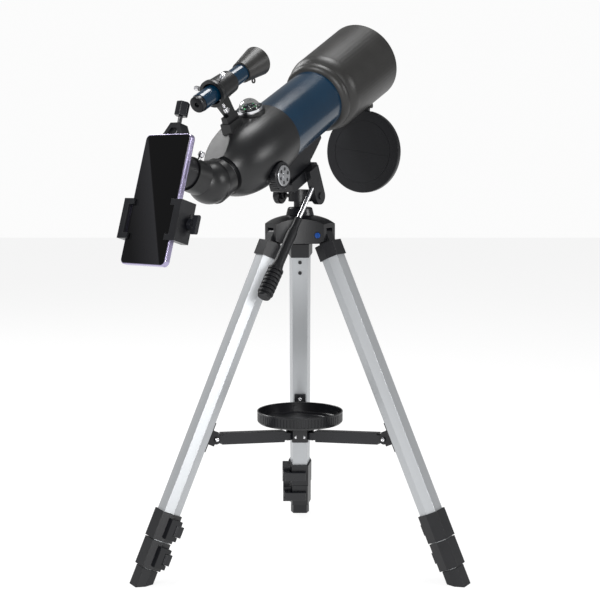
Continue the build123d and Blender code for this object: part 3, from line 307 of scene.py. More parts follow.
@dataclass(frozen=True)
class Spot:
    """A place and a direction: Z is the axis of what is made there, X is its right."""

    origin: Vector
    z_axis: Vector
    x_axis: Vector

    def matrix(self) -> Matrix:
        """Return the matrix that carries a piece made at the origin to this place."""
        z_way = self.z_axis.normalized()
        x_way = (self.x_axis - z_way * self.x_axis.dot(z_way)).normalized()
        y_way = z_way.cross(x_way)
        turn = Matrix((x_way, y_way, z_way)).transposed().to_4x4()
        return Matrix.Translation(self.origin) @ turn

    def moved(self, x: float = 0.0, y: float = 0.0, z: float = 0.0) -> "Spot":
        """Return the spot moved by distances along its own axes."""
        place = self.matrix() @ Vector((x, y, z))
        return Spot(place, self.z_axis, self.x_axis)


def deselect_all() -> None:
    """Leave every mode and selection behind."""
    if bpy.context.mode != "OBJECT":
        bpy.ops.object.mode_set(mode="OBJECT")
    bpy.ops.object.select_all(action="DESELECT")


def take(piece: bpy.types.Object) -> None:
    """Make one piece the only selected and the active one."""
    deselect_all()
    piece.select_set(True)
    bpy.context.view_layer.objects.active = piece


def soften(piece: bpy.types.Object, width: float, segments: int = 2, angle: float = 30.0) -> None:
    """Round a piece's sharp edges and shade it smooth.

    Args:
        piece: The piece to finish.
        width: Width of the rounding, in metres.
        segments: Steps over each rounding.
        angle: Edges sharper than this many degrees are rounded.
    """
    take(piece)
    bevel = piece.modifiers.new("edges", "BEVEL")
    bevel.width = width
    bevel.segments = segments
    bevel.limit_method = "ANGLE"
    bevel.angle_limit = math.radians(angle)
    bpy.ops.object.modifier_apply(modifier=bevel.name)
    smooth(piece)


def smooth(piece: bpy.types.Object, angle: float = 20.0) -> None:
    """Shade a piece smooth up to an angle, and keep its flat faces flat."""
    take(piece)
    bpy.ops.object.shade_smooth_by_angle(angle=math.radians(angle))
    for face in piece.data.polygons:
        if len(face.vertices) > 4:
            face.use_smooth = False
    weighted = piece.modifiers.new("flats", "WEIGHTED_NORMAL")
    weighted.keep_sharp = True
    weighted.weight = 90
    bpy.ops.object.modifier_apply(modifier=weighted.name)


def outline(name: str, points: Sequence[Point], filled: bool) -> bpy.types.Object:
    """Add a circle primitive and move its corners to the points of an outline.

    Args:
        name: Name of the new piece.
        points: Corners in order.
        filled: Whether the outline has a face.

    Returns:
        The piece, left in edit mode with everything selected.
    """
    deselect_all()
    fill = "NGON" if filled else "NOTHING"
    bpy.ops.mesh.primitive_circle_add(vertices=len(points), radius=1.0, fill_type=fill)
    piece = bpy.context.object
    piece.name = name
    for vertex, point in zip(piece.data.vertices, points):
        vertex.co = point
    bpy.ops.object.mode_set(mode="EDIT")
    bpy.ops.mesh.select_all(action="SELECT")
    return piece


def close_up() -> None:
    """Merge doubled corners and turn every face outwards, in edit mode."""
    bpy.ops.mesh.select_all(action="SELECT")
    bpy.ops.mesh.remove_doubles(threshold=1e-6)
    bpy.ops.mesh.dissolve_degenerate(threshold=1e-7)
    bpy.ops.mesh.select_all(action="SELECT")
    bpy.ops.mesh.delete_loose(use_verts=True, use_edges=True, use_faces=False)
    bpy.ops.mesh.select_all(action="SELECT")
    bpy.ops.mesh.normals_make_consistent(inside=False)
    bpy.ops.object.mode_set(mode="OBJECT")


def turned(name: str, profile: Profile, steps: int = 64) -> bpy.types.Object:
    """Spin a closed outline of (radius, height) points round +Z.

    Args:
        name: Name of the new piece.
        profile: Corners of the section, in order, in metres.
        steps: Sides round the piece.

    Returns:
        The closed piece.
    """
    piece = outline(name, [(radius, 0.0, height) for radius, height in profile], False)
    bpy.ops.mesh.spin(steps=steps, angle=2 * math.pi, center=(0, 0, 0), axis=(0, 0, 1))
    close_up()
    return piece


def prism(name: str, corners: Profile, low: float, high: float) -> bpy.types.Object:
    """Extrude a flat outline from one height to another.

    Args:
        name: Name of the new piece.
        corners: Corners of the outline as (x, y).
        low: Height of the first face.
        high: Height of the second face.

    Returns:
        The closed piece.
    """
    piece = outline(name, [(x, y, low) for x, y in corners], True)
    bpy.ops.mesh.extrude_region_move(TRANSFORM_OT_translate={"value": (0, 0, high - low)})
    close_up()
    return piece


def ring_points(count: int, radius: float, turn: float = 0.0) -> List[Tuple[float, float]]:
    """Return points spaced evenly round a circle."""
    step = 2 * math.pi / count
    return [(radius * math.cos(turn + i * step), radius * math.sin(turn + i * step)) for i in range(count)]


def rounded_box(width: float, height: float, radius: float, steps: int = 6) -> List[Tuple[float, float]]:
    """Return the outline of a rectangle with round corners, centred on the origin."""
    points = []
    for corner, (sx, sy) in enumerate(((1, 1), (-1, 1), (-1, -1), (1, -1))):
        for i in range(steps + 1):
            angle = math.pi / 2 * (corner + i / steps)
            x = sx * (width / 2 - radius) + radius * math.cos(angle)
            y = sy * (height / 2 - radius) + radius * math.sin(angle)
            points.append((x, y))
    return points


def recess(piece: bpy.types.Object, test: Callable[[Vector, Vector], bool], rim: float, depth: float) -> None:
    """Inset every face that passes a test on its own, and sink or raise it.

    Args:
        piece: The piece to shape.
        test: Takes a face's centre and normal, and says whether it is meant.
        rim: Width left round each face.
        depth: How far the face moves outwards.
    """
    take(piece)
    bpy.ops.object.mode_set(mode="EDIT")
    bpy.ops.mesh.select_mode(type="FACE")
    bpy.ops.mesh.select_all(action="DESELECT")
    bpy.ops.object.mode_set(mode="OBJECT")
    for face in piece.data.polygons:
        face.select = test(face.center, face.normal)
    bpy.ops.object.mode_set(mode="EDIT")
    bpy.ops.mesh.inset(thickness=rim, depth=depth, use_individual=True)
    bpy.ops.object.mode_set(mode="OBJECT")


def join(pieces: Sequence[bpy.types.Object]) -> bpy.types.Object:
    """Join several pieces of one part into the first of them."""
    deselect_all()
    for piece in pieces:
        piece.select_set(True)
    bpy.context.view_layer.objects.active = pieces[0]
    bpy.ops.object.join()
    return pieces[0]


def place(piece: bpy.types.Object, spot: Spot) -> bpy.types.Object:
    """Carry a piece made at the origin to its spot, in its mesh, and return it."""
    piece.data.transform(spot.matrix())
    piece.data.update()
    return piece


@dataclass
class Shop:
    """What every sub-assembly needs: the frame, the finishes and the bodies' names."""

    frame: dict
    paint: Paintshop = field(default_factory=Paintshop)
    node_body: Dict[str, str] = field(default_factory=dict)
    joints: Dict[str, dict] = field(default_factory=dict)
    slots: Dict[str, str] = field(default_factory=dict)

    def __post_init__(self) -> None:
        """Read the bodies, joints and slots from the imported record."""
        record = self.frame["record"]
        for body, nodes in record["behaviour"]["bodies"].items():
            for node in nodes:
                self.node_body[node] = body
        self.joints = {joint["name"]: joint for joint in record["behaviour"]["joints"]}
        self.slots = {part["node"]: part["material_slot"] for part in record["subparts"]}

    def axis(self, joint: str) -> Vector:
        """Return the direction of a joint."""
        return Vector(self.joints[joint]["axis"]).normalized()

    def pivot(self, joint: str) -> Vector:
        """Return the place of a hinge."""
        return Vector(self.joints[joint]["pos_m"])

    def mount(self, piece: bpy.types.Object, node: str, finish: Finish, instead: bool) -> bpy.types.Object:
        """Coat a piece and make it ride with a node's body.

        Args:
            piece: The finished piece.
            node: The node whose body and slot it shares.
            finish: Its finish, where it has no materials yet.
            instead: Whether the piece stands for the node.

        Returns:
            The same piece.
        """
        if not piece.data.materials:
            self.paint.coat(piece, finish)
        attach(piece, self.node_body[node])
        if instead:
            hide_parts(node)
        LOG.info("%s rides on %s", piece.name, self.node_body[node])
        return piece

    def refined(
        self, node: str, finish: Finish, width: float, segments: int = 2, angle: float = 30.0
    ) -> bpy.types.Object:
        """Copy a node's shape, round its edges and let the copy stand for it.

        Args:
            node: The node to refine.
            finish: Finish of the copy.
            width: Width of the rounded edges, in metres.
            segments: Steps over each rounded edge.
            angle: Edges sharper than this many degrees are rounded.

        Returns:
            The refined piece.
        """
        source = self.frame["nodes"][node]
        deselect_all()
        piece = source.copy()
        piece.data = source.data.copy()
        piece.name = node + "_fine"
        bpy.context.scene.collection.objects.link(piece)
        piece.parent = None
        piece.matrix_world = Matrix.Identity(4)
        for key in list(piece.keys()):
            del piece[key]
        take(piece)
        if piece.data.has_custom_normals:
            bpy.ops.mesh.customdata_custom_splitnormals_clear()
        bpy.ops.object.mode_set(mode="EDIT")
        bpy.ops.mesh.select_all(action="SELECT")
        bpy.ops.mesh.remove_doubles(threshold=2e-6)
        bpy.ops.mesh.dissolve_limited(angle_limit=math.radians(0.6))
        bpy.ops.object.mode_set(mode="OBJECT")
        soften(piece, width, segments, angle)
        self.paint.coat(piece, finish)
        return self.mount(piece, node, finish, True)


# ---------------------------------------------------------------- studio


@dataclass
class Studio:
    """The floor, lights and camera round the object.

    Attributes:
        camera_place: Where the camera stands.
        camera_drop: How far it looks down, in radians.
        lens: Focal length in millimetres on a 36 mm wide film.
        floor_size: Width of the floor.
        room_light: Strength of the even light of the room.
        wall_light: Brightness of the wall behind.
    """

    camera_place: Point = (0.0, -1.818, 0.556)
    camera_drop: float = 0.1155
    lens: float = 84.0
    floor_size: float = 12.0
    room_light: float = 0.26
    wall_light: float = 0.97

    def set_camera(self) -> None:
        """Stand the camera in front of the object and make it the scene's."""
        data = bpy.data.cameras.new("camera")
        data.lens = self.lens
        data.sensor_width = 36.0
        camera = bpy.data.objects.new("camera", data)
        camera.location = self.camera_place
        camera.rotation_euler = (math.pi / 2 - self.camera_drop, 0.0, 0.0)
        bpy.context.scene.collection.objects.link(camera)
        bpy.context.scene.camera = camera

    def lay_floor(self, paint: Paintshop) -> None:
        """Lay the plain pale floor under the feet."""
        deselect_all()
        bpy.ops.mesh.primitive_plane_add(size=self.floor_size, location=(0, 0, 0))
        floor = bpy.context.object
        floor.name = "floor"
        paint.coat(floor, PaleFloor("pale_floor", (0.20, 0.20, 0.20), 0.9, grain_scale=40.0, tint=0.003))

    def light(self, name: str, place_at: Point, size: float, power: float) -> None:
        """Hang one large soft lamp that points at the middle of the object."""
        data = bpy.data.lights.new(name, "AREA")
        data.size = size
        data.energy = power
        lamp = bpy.data.objects.new(name, data)
        lamp.location = place_at
        aim = Vector((0.0, 0.0, 0.40)) - Vector(place_at)
        lamp.rotation_euler = aim.to_track_quat("-Z", "Y").to_euler()
        bpy.context.scene.collection.objects.link(lamp)

    def shade_world(self, tree: bpy.types.NodeTree) -> None:
        """Give the room soft dim light, and a white wall behind the object."""
        room = tree.nodes["Background"]
        room.inputs["Color"].default_value = (1.0, 1.0, 1.0, 1.0)
        room.inputs["Strength"].default_value = self.room_light
        wall = tree.nodes.new("ShaderNodeBackground")
        wall.inputs["Color"].default_value = (1.0, 1.0, 1.0, 1.0)
        wall.inputs["Strength"].default_value = self.wall_light
        rays = tree.nodes.new("ShaderNodeLightPath")
        mix = tree.nodes.new("ShaderNodeMixShader")
        tree.links.new(rays.outputs["Is Camera Ray"], mix.inputs["Fac"])
        tree.links.new(room.outputs["Background"], mix.inputs[1])
        tree.links.new(wall.outputs["Background"], mix.inputs[2])
        tree.links.new(mix.outputs["Shader"], tree.nodes["World Output"].inputs["Surface"])

    def build(self, paint: Paintshop) -> None:
        """Set up the whole studio."""
        self.set_camera()
        self.lay_floor(paint)
        self.light("key", (-1.3, -1.3, 1.7), 0.5, 24.0)
        self.light("front", (0.35, -2.3, 0.8), 0.6, 26.0)
        self.light("fill", (1.8, -0.5, 1.0), 0.6, 9.0)
        self.light("top", (0.1, 0.2, 2.1), 0.7, 18.0)
        self.light("left_back", (-1.5, 1.2, 1.75), 0.8, 22.0)
        world = bpy.context.scene.world or bpy.data.worlds.new("studio")
        bpy.context.scene.world = world
        world.use_nodes = True
        self.shade_world(world.node_tree)
        bpy.context.scene.view_settings.view_transform = "Standard"


# ---------------------------------------------------------------- small parts


@dataclass
class ScrewHead:
    """A pan-head screw with a cross recess.

    Attributes:
        radius: Radius of the head.
        height: Height of the head.
    """

    radius: float = 2.6 * MM
    height: float = 1.5 * MM

    def build(self, name: str, spot: Spot) -> bpy.types.Object:
        """Make the head on its seat, with the cross sunk in its top."""
        rim = self.radius
        top = self.height
        profile = [(0.0, 0.0), (rim, 0.0), (rim, top * 0.35), (rim * 0.86, top * 0.75), (rim * 0.55, top), (0.0, top)]
        head = turned(name, profile, 24)
        half = rim * 0.11
        reach = rim * 0.52
        corners = [
            (half, half), (half, reach), (-half, reach), (-half, half), (-reach, half), (-reach, -half),
            (-half, -half), (-half, -reach), (half, -reach), (half, -half), (reach, -half), (reach, half),
        ]
        cross = prism(name + "_cross", corners, top * 0.45, top * 2.0)
        take(head)
        cut = head.modifiers.new("cross", "BOOLEAN")
        cut.operation = "DIFFERENCE"
        cut.object = cross
        bpy.ops.object.modifier_apply(modifier=cut.name)
        bpy.data.objects.remove(cross, do_unlink=True)
        smooth(head, 30.0)
        return place(head, spot)


@dataclass
class RibbedWheel:
    """A round knob with a ribbed rim.

    Attributes:
        radius: Outer radius.
        thickness: Height of the wheel.
        ribs: Number of ribs.
        dish: How deep its face is dished.
    """

    radius: float
    thickness: float
    ribs: int
    dish: float = 0.0

    def build(self, name: str, spot: Spot) -> bpy.types.Object:
        """Turn the wheel, then sink a groove between each pair of ribs."""
        r = self.radius
        t = self.thickness
        soft = min(1.2 * MM, t * 0.2)
        profile = [
            (0.0, 0.0), (r - soft, 0.0), (r, soft), (r, t - soft), (r - soft, t),
            (r * 0.82, t), (r * 0.78, t - self.dish), (0.0, t - self.dish),
        ]
        wheel = turned(name, profile, self.ribs * 2)
        step = math.pi / self.ribs

        def in_groove(centre: Vector, normal: Vector) -> bool:
            """Pick every other side face."""
            on_side = abs(normal.z) < 0.2 and math.hypot(centre.x, centre.y) > r * 0.95
            return on_side and int(math.floor(math.atan2(centre.y, centre.x) / step)) % 2 == 0

        recess(wheel, in_groove, r * 0.012, -r * 0.045)
        smooth(wheel, 32.0)
        return place(wheel, spot)


# ---------------------------------------------------------------- tripod


@dataclass
class Tripod:
    """The three legs, crown, spreader and tray.

    Attributes:
        edge: Rounding of the moulded parts.
        tray_ribs: Ribs round the tray's wall.
        tray_wall: Thickness of the tray's wall.
        tray_floor: Thickness of the tray's floor.
        foot_ribs: Grooves round each rubber foot; not used.
    """

    edge: float = 0.5 * MM
    tray_ribs: int = 80
    tray_wall: float = 2.0 * MM
    tray_floor: float = 2.4 * MM
    foot_ribs: int = 3

    def leg_way(self, shop: Shop, side: Side) -> Vector:
        """Return the direction down one leg."""
        return shop.axis(side.value + "_leg_middle_slide")

    def dress_leg(self, shop: Shop, side: Side) -> None:
        """Refine one leg's tubes, locks, levers and arm."""
        leg = side.value + "_leg_"
        along = self.leg_way(shop, side)
        tube = DrawnMetal(
            "anodised_" + side.value, (0.46, 0.475, 0.49), 0.40, 0.55, 160.0, 0.10, 0.04, along=tuple(along)
        )
        shop.refined(leg + "outer_tube", tube, 0.25 * MM)
        shop.refined(leg + "middle_tube", tube, 0.2 * MM)
        shop.refined(leg + "fittings", BLACK, self.edge)
        shop.refined(leg + "lower_lock", BLACK, self.edge)
        shop.refined(leg + "upper_lever", SATIN_BLACK, self.edge)
        shop.refined(leg + "lower_lever", SATIN_BLACK, self.edge)
        shop.refined(side.value + "_spreader_arm", SATIN_BLACK, 0.4 * MM)
        self.dress_foot(shop, side, tube)

    def dress_foot(self, shop: Shop, side: Side, tube: Finish) -> None:
        """Refine the lowest section and make its foot rubber instead of metal."""
        node = side.value + "_leg_inner_tube"
        piece = shop.refined(node, tube, 0.3 * MM)
        along = self.leg_way(shop, side)
        hinge = shop.pivot(side.value + "_leg_fold")
        foot_start = 0.4517
        piece.data.materials.append(shop.paint.material(RUBBER))
        for face in piece.data.polygons:
            inside = (face.center - hinge).dot(along) > foot_start - 0.0006
            lateral = (face.center - hinge) - along * (face.center - hinge).dot(along)
            outer = lateral.length > 6 * MM or face.normal.dot(along) < -0.9
            face.material_index = 1 if inside and outer else 0

    def dress_crown(self, shop: Shop) -> None:
        """Refine the crown and its coloured bolts."""
        shop.refined("tripod_crown", BLACK, 0.9 * MM, 3)
        shop.refined("leg_hinge_bolts", BLUE_HEAD, 0.4 * MM)
        shop.refined("pan_base", SATIN_BLACK, 0.5 * MM)

    def dress_spreader(self, shop: Shop) -> None:
        """Refine the hub and turn the ribbed tray that stands on it."""
        shop.refined("spreader_hub", BLACK, 0.6 * MM)
        low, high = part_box("accessory_tray")
        outer = (high[0] - low[0]) / 2
        base = low[2]
        top = high[2]
        inner = outer - self.tray_wall
        profile = [
            (0.0, base), (outer - 2.5 * MM, base), (outer - 0.6 * MM, base + 1.8 * MM),
            (outer - 0.2 * MM, base + 3.0 * MM), (outer - 0.2 * MM, top - 2.4 * MM), (outer, top - 2.0 * MM),
            (outer, top - 0.5 * MM), (outer - 0.5 * MM, top), (inner + 0.4 * MM, top), (inner, top - 0.4 * MM),
            (inner, base + self.tray_floor + 1.2 * MM), (inner - 1.2 * MM, base + self.tray_floor),
            (outer * 0.72, base + self.tray_floor), (outer * 0.71, base + self.tray_floor + 0.5 * MM),
            (outer * 0.69, base + self.tray_floor + 0.5 * MM), (outer * 0.68, base + self.tray_floor),
            (6.5 * MM, base + self.tray_floor), (0.0, base + self.tray_floor),
        ]
        tray = turned("ribbed_tray", profile, self.tray_ribs * 2)
        step = math.pi / self.tray_ribs

        def between_ribs(centre: Vector, normal: Vector) -> bool:
            """Pick every other face of the outer wall."""
            tall = base + 3.0 * MM < centre.z < top - 2.6 * MM
            side = Vector((centre.x, centre.y, 0)).normalized().dot(normal) > 0.9
            return tall and side and int(math.floor(math.atan2(centre.y, centre.x) / step)) % 2 == 0

        recess(tray, between_ribs, 0.25 * MM, -0.55 * MM)
        smooth(tray, 30.0)
        shop.mount(tray, "accessory_tray", BLACK, True)

    def add_screws(self, shop: Shop) -> None:
        """Set bright cross-head screws on the bracket joints, the hub and the legs."""
        screw = ScrewHead()
        for side in Side:
            across = shop.axis(side.value + "_leg_fold")
            arm = shop.pivot(side.value + "_arm_fold")
            along = self.leg_way(shop, side)
            hinge = shop.pivot(side.value + "_leg_fold")
            inward = across.cross(along)
            pivot = hinge + along * (272.0 * MM) + inward * (22.7 * MM)
            for way in (1, -1):
                seat = pivot + across * (way * 9.4 * MM)
                head = screw.build(side.value + "_bracket_screw_" + ("a" if way > 0 else "b"), Spot(seat, across * way, along))
                shop.mount(head, side.value + "_leg_fittings", CHROME, False)
                hub_seat = arm + across * (way * 10.4 * MM)
                hub = ScrewHead(2.9 * MM, 1.3 * MM).build(
                    side.value + "_hub_screw_" + ("a" if way > 0 else "b"), Spot(hub_seat, across * way, along)
                )
                shop.mount(hub, "spreader_hub", CHROME, False)
            face = hinge + along * (258.6 * MM) + inward * (15.4 * MM)
            plate = screw.build(side.value + "_plate_screw", Spot(face, inward, across))
            shop.mount(plate, side.value + "_leg_fittings", CHROME, False)

    def build(self, shop: Shop) -> None:
        """Dress the whole tripod."""
        for side in Side:
            self.dress_leg(shop, side)
        self.dress_crown(shop)
        self.dress_spreader(shop)
        self.add_screws(shop)


# ---------------------------------------------------------------- pan and tilt head


@dataclass
class PanTiltHead:
    """The turning head, its lock knob and its long handle.

    Attributes:
        knob_ribs: Ribs round the lock knob.
        handle_sides: Sides round the handle.
    """

    knob_ribs: int = 18
    handle_sides: int = 48

    def build(self, shop: Shop) -> None:
        """Dress the head, then make the ribbed knob and handle."""
        shop.refined("pan_block", BLACK, 0.7 * MM, 3)
        shop.refined("tilt_arm", BLACK, 0.9 * MM, 3)
        shop.refined("tube_saddle", BLACK, 0.9 * MM, 3)
        shop.refined("pan_handle_rod", CHROME, 0.4 * MM)
        self.make_knob(shop)
        self.make_grip(shop)

    def make_knob(self, shop: Shop) -> None:
        """Make the lock knob as a stem with a ribbed wheel."""
        way = shop.axis("pan_lock_turn")
        root = Vector((0, 0, shop.pivot("pan_lock_turn").z))
        spot = Spot(root, way, Vector((0, 0, 1)))
        stem = turned(
            "pan_lock_stem",
            [
                (0.0, 8.0 * MM), (2.5 * MM, 8.0 * MM), (2.5 * MM, 22.0 * MM),
                (5.0 * MM, 22.6 * MM), (5.0 * MM, 27.2 * MM), (0.0, 27.2 * MM),
            ],
            32,
        )
        place(stem, spot)
        wheel = RibbedWheel(11.0 * MM, 9.0 * MM, self.knob_ribs, 1.2 * MM).build("pan_lock_wheel", spot.moved(z=27.0 * MM))
        knob = join([wheel, stem])
        knob.name = "pan_lock_fine"
        shop.mount(knob, "pan_lock_knob", BLACK, True)

    def make_grip(self, shop: Shop) -> None:
        """Turn the tapered grip with a collar and a ringed end."""
        way = shop.axis("handle_twist")
        root = shop.pivot("handle_twist") - way * (60.0 * MM)
        spot = Spot(root, way, Vector((0, 0, 1)))
        profile = [
            (3.05, 56.0), (4.2, 56.0), (4.7, 56.6), (4.7, 71.4), (5.2, 72.4), (5.6, 74.0), (5.6, 76.6), (6.3, 78.4),
            (6.6, 82.0), (6.4, 100.0), (6.6, 126.0), (7.6, 133.0),
        ]
        for index in range(7):
            start = 135.0 + index * 5.6
            profile += [
                (8.2, start), (9.8, start + 0.5), (10.0, start + 1.2),
                (10.0, start + 3.4), (9.8, start + 4.1), (8.2, start + 4.6),
            ]
        profile += [(8.6, 176.0), (7.6, 178.0), (0.0, 178.0), (0.0, 74.4), (3.05, 74.4)]
        grip = turned("pan_handle_fine", [(r * MM, z * MM) for r, z in profile], self.handle_sides)
        smooth(grip, 32.0)
        shop.mount(place(grip, spot), "pan_handle_grip", RUBBER, True)


# ---------------------------------------------------------------- telescope


@dataclass
class ScopeAxes:
    """The telescope's own directions, read from its joints.

    Attributes:
        forward: Along the optical axis, towards the sky.
        right: To the right of someone looking through it.
        upward: Above the tube.
        origin: Point on the optical axis from which its lengths count.
    """

    forward: Vector
    right: Vector
    upward: Vector
    origin: Vector

    @staticmethod
    def read(shop: Shop) -> "ScopeAxes":
        """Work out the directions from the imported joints."""
        forward = shop.axis("finder_eyepiece_turn")
        right = shop.axis("tilt")
        upward = right.cross(forward).normalized()
        focus = shop.pivot("focus_turn")
        origin = focus + forward * (135.0 * MM) + upward * (25.5 * MM)
        return ScopeAxes(forward, right, upward, origin)

    def point(self, along: float, lateral: float, height: float) -> Vector:
        """Return a point given in millimetres along, right of and above the axis."""
        return self.origin + (self.forward * along + self.right * lateral + self.upward * height) * MM


@dataclass
class OpticalTube:
    """The main tube, its dew shield and lens.

    Attributes:
        edge: Rounding of the shield's rims.
    """

    edge: float = 0.5 * MM

    def build(self, shop: Shop, axes: ScopeAxes) -> None:
        """Refine the tube and its ends."""
        shop.refined("main_tube", NAVY, 0.2 * MM)
        shop.refined("dew_shield", DARK_GREY, self.edge)
        shop.refined("objective_lens", LENS, 0.2 * MM)


@dataclass
class FlipCap:
    """The hinged cap with a ring and a cross sunk in its face.

    Attributes:
        groove: Width of the grooves.
        depth: Depth of the grooves.
    """

    groove: float = 0.9 * MM
    depth: float = 0.5 * MM

    def build(self, shop: Shop, axes: ScopeAxes) -> None:
        """Refine the cap, then cut its ring and cross."""
        cap = shop.refined("objective_cap", BLACK, 0.5 * MM)
        pivot = shop.pivot("cap_swing")
        turn = Matrix.Rotation(-math.radians(204.4), 4, shop.axis("cap_swing"))
        outward = (turn.to_3x3() @ axes.forward).normalized()
        closed_face = axes.point(173.3, 0.0, 0.0)
        face = pivot + turn.to_3x3() @ (closed_face - pivot)
        upright = turn.to_3x3() @ axes.upward
        spot = Spot(face, outward, upright)
        radius = 43.0 * MM
        ring = turned(
            "cap_ring_cutter",
            [(radius, -self.depth), (radius + self.groove, -self.depth), (radius + self.groove, 2 * MM), (radius, 2 * MM)],
            96,
        )
        bars = []
        for index in range(2):
            half = self.groove / 2
            length = radius
            wide, tall = (length, half) if index else (half, length)
            corners = [(-wide, -tall), (wide, -tall), (wide, tall), (-wide, tall)]
            bars.append(prism("cap_bar_cutter", corners, -self.depth, 2.1 * MM))
        for cutter in [ring] + bars:
            place(cutter, spot)
            take(cap)
            cut = cap.modifiers.new("groove", "BOOLEAN")
            cut.operation = "DIFFERENCE"
            cut.object = cutter
            bpy.ops.object.modifier_apply(modifier=cut.name)
            bpy.data.objects.remove(cutter, do_unlink=True)
        smooth(cap, 35.0)


@dataclass
class RearEnd:
    """The round housing, the focus knobs and the drawtube.

    Attributes:
        knob_ribs: Ribs round each focus knob.
        knob_holes: Round holes in each knob's bright face.
    """

    knob_ribs: int = 30
    knob_holes: int = 6

    def build(self, shop: Shop, axes: ScopeAxes) -> None:
        """Refine the housing and the drawtube, and make the focus knobs."""
        housing = shop.refined("rear_housing", HOUSING, 0.5 * MM)
        self.paint_facet_sheen(shop, housing)
        shop.refined("drawtube", STEEL, 0.3 * MM)
        self.make_knobs(shop, axes)

    def paint_facet_sheen(self, shop: Shop, housing: bpy.types.Object) -> None:
        """Give the smooth oval flat a rougher satin finish and a lighter colour, which is a painted sheen."""
        housing.data.materials.append(shop.paint.material(FACET_PAINTED_SHEEN))
        widest = max(housing.data.polygons, key=lambda face: face.area * (face.normal.z > 0.4) * (face.normal.x < -0.5))
        # Painted sheen: every face of the flat takes the lighter colour.
        for face in housing.data.polygons:
            if face.normal.dot(widest.normal) > 0.9995:
                face.material_index = 1

    def make_knobs(self, shop: Shop, axes: ScopeAxes) -> None:
        """Make a ribbed wheel, a bright holed face and a hub cap on each side."""
        centre = shop.pivot("focus_turn")
        parts = []
        for way in (1, -1):
            spot = Spot(centre, axes.right * way, axes.forward)
            wheel = RibbedWheel(17.0 * MM, 10.0 * MM, self.knob_ribs, 0.8 * MM).build("focus_wheel", spot.moved(z=38.0 * MM))
            parts.append(wheel)
            self.make_face(shop, spot.moved(z=47.3 * MM), "right" if way > 0 else "left")
        shaft = turned(
            "focus_shaft_fine",
            [
                (0.0, -47.0 * MM), (2.5 * MM, -47.0 * MM), (2.5 * MM, -6.0 * MM), (4.0 * MM, -6.0 * MM),
                (4.0 * MM, 6.0 * MM), (2.5 * MM, 6.0 * MM), (2.5 * MM, 47.0 * MM), (0.0, 47.0 * MM),
            ],
            32,
        )
        parts.append(place(shaft, Spot(centre, axes.right, axes.forward)))
        knobs = join(parts)
        knobs.name = "focus_knobs_fine"
        shop.mount(knobs, "focus_knobs", BLACK, True)

    def make_face(self, shop: Shop, spot: Spot, side: str) -> None:
        """Make one bright face disc, with holes bored round its centre."""
        disc = turned(
            "focus_face_" + side,
            [
                (0.0, -0.6 * MM), (12.6 * MM, -0.6 * MM), (12.8 * MM, 1.2 * MM), (12.2 * MM, 1.8 * MM),
                (3.4 * MM, 1.8 * MM), (3.2 * MM, 2.4 * MM), (0.0, 2.4 * MM),
            ],
            64,
        )
        for x, y in ring_points(self.knob_holes, 8.2 * MM):
            deselect_all()
            bore = prism("bore", [(x + a, y + b) for a, b in ring_points(24, 2.2 * MM)], 0.6 * MM, 4.0 * MM)
            take(disc)
            cut = disc.modifiers.new("bore", "BOOLEAN")
            cut.operation = "DIFFERENCE"
            cut.object = bore
            bpy.ops.object.modifier_apply(modifier=cut.name)
            bpy.data.objects.remove(bore, do_unlink=True)
        smooth(disc, 35.0)
        disc.data.materials.clear()
        disc.data.materials.append(shop.paint.material(STEEL))
        disc.data.materials.append(shop.paint.material(BLACK))
        for face in disc.data.polygons:
            in_hole = face.center.z < 0.9 * MM and math.hypot(face.center.x, face.center.y) < 11.5 * MM
            face.material_index = 1 if in_hole else 0
        shop.mount(place(disc, spot), "focus_knobs", STEEL, False)


@dataclass
class Compass:
    """The dome compass: bright ring, marked card and clear dome.

    Attributes:
        card_radius: Radius of the card.
        marks: Marks round the card.
    """

    card_radius: float = 10.5 * MM
    marks: int = 24

    def build(self, shop: Shop, axes: ScopeAxes) -> None:
        """Refine the base and dome, and make the card with its raised marks."""
        self.make_base(shop)
        shop.refined("compass_dome", DOME, 0.2 * MM)
        centre = shop.pivot("compass_turn")
        seat = centre - axes.upward * (0.4 * MM)
        spot = Spot(seat, axes.upward, axes.forward)
        r = self.card_radius
        profile = [(0.0, 0.0), (r, 0.0), (r, 1.0 * MM), (6.5 * MM, 1.3 * MM), (5.4 * MM, 3.6 * MM), (0.0, 3.8 * MM)]
        card = turned("compass_card_fine", profile, 48)
        card.data.materials.append(shop.paint.material(CARD_DARK))
        parts = [card]
        for index, (x, y) in enumerate(ring_points(self.marks, r - 1.8 * MM)):
            angle = math.atan2(y, x)
            long_mark = index % 6 == 0
            wide = 1.3 * MM if long_mark else 0.35 * MM
            deep = 1.9 * MM if long_mark else 1.2 * MM
            tick = prism("tick", [(-deep, -wide), (deep, -wide), (deep, wide), (-deep, wide)], 0.9 * MM, 1.5 * MM)
            tick.data.transform(Matrix.Translation((x, y, 0)) @ Matrix.Rotation(angle, 4, "Z"))
            tick.data.materials.append(shop.paint.material(CARD_GREEN if long_mark else CARD_WHITE))
            parts.append(tick)
        whole = join(parts)
        whole.name = "compass_card_fine"
        shop.mount(place(whole, spot), "compass_card", CARD_DARK, True)

    def make_base(self, shop: Shop) -> None:
        """Refine the base: bright outside, dark inside its dish."""
        base = shop.refined("compass_housing", CHROME, 0.5 * MM, 3)
        base.data.materials.append(shop.paint.material(CARD_DARK))
        centre = shop.pivot("compass_turn")
        upward = shop.axis("compass_turn")
        for face in base.data.polygons:
            offset = face.center - centre
            radial = offset - upward * offset.dot(upward)
            face.material_index = 1 if radial.length < 12.6 * MM else 0


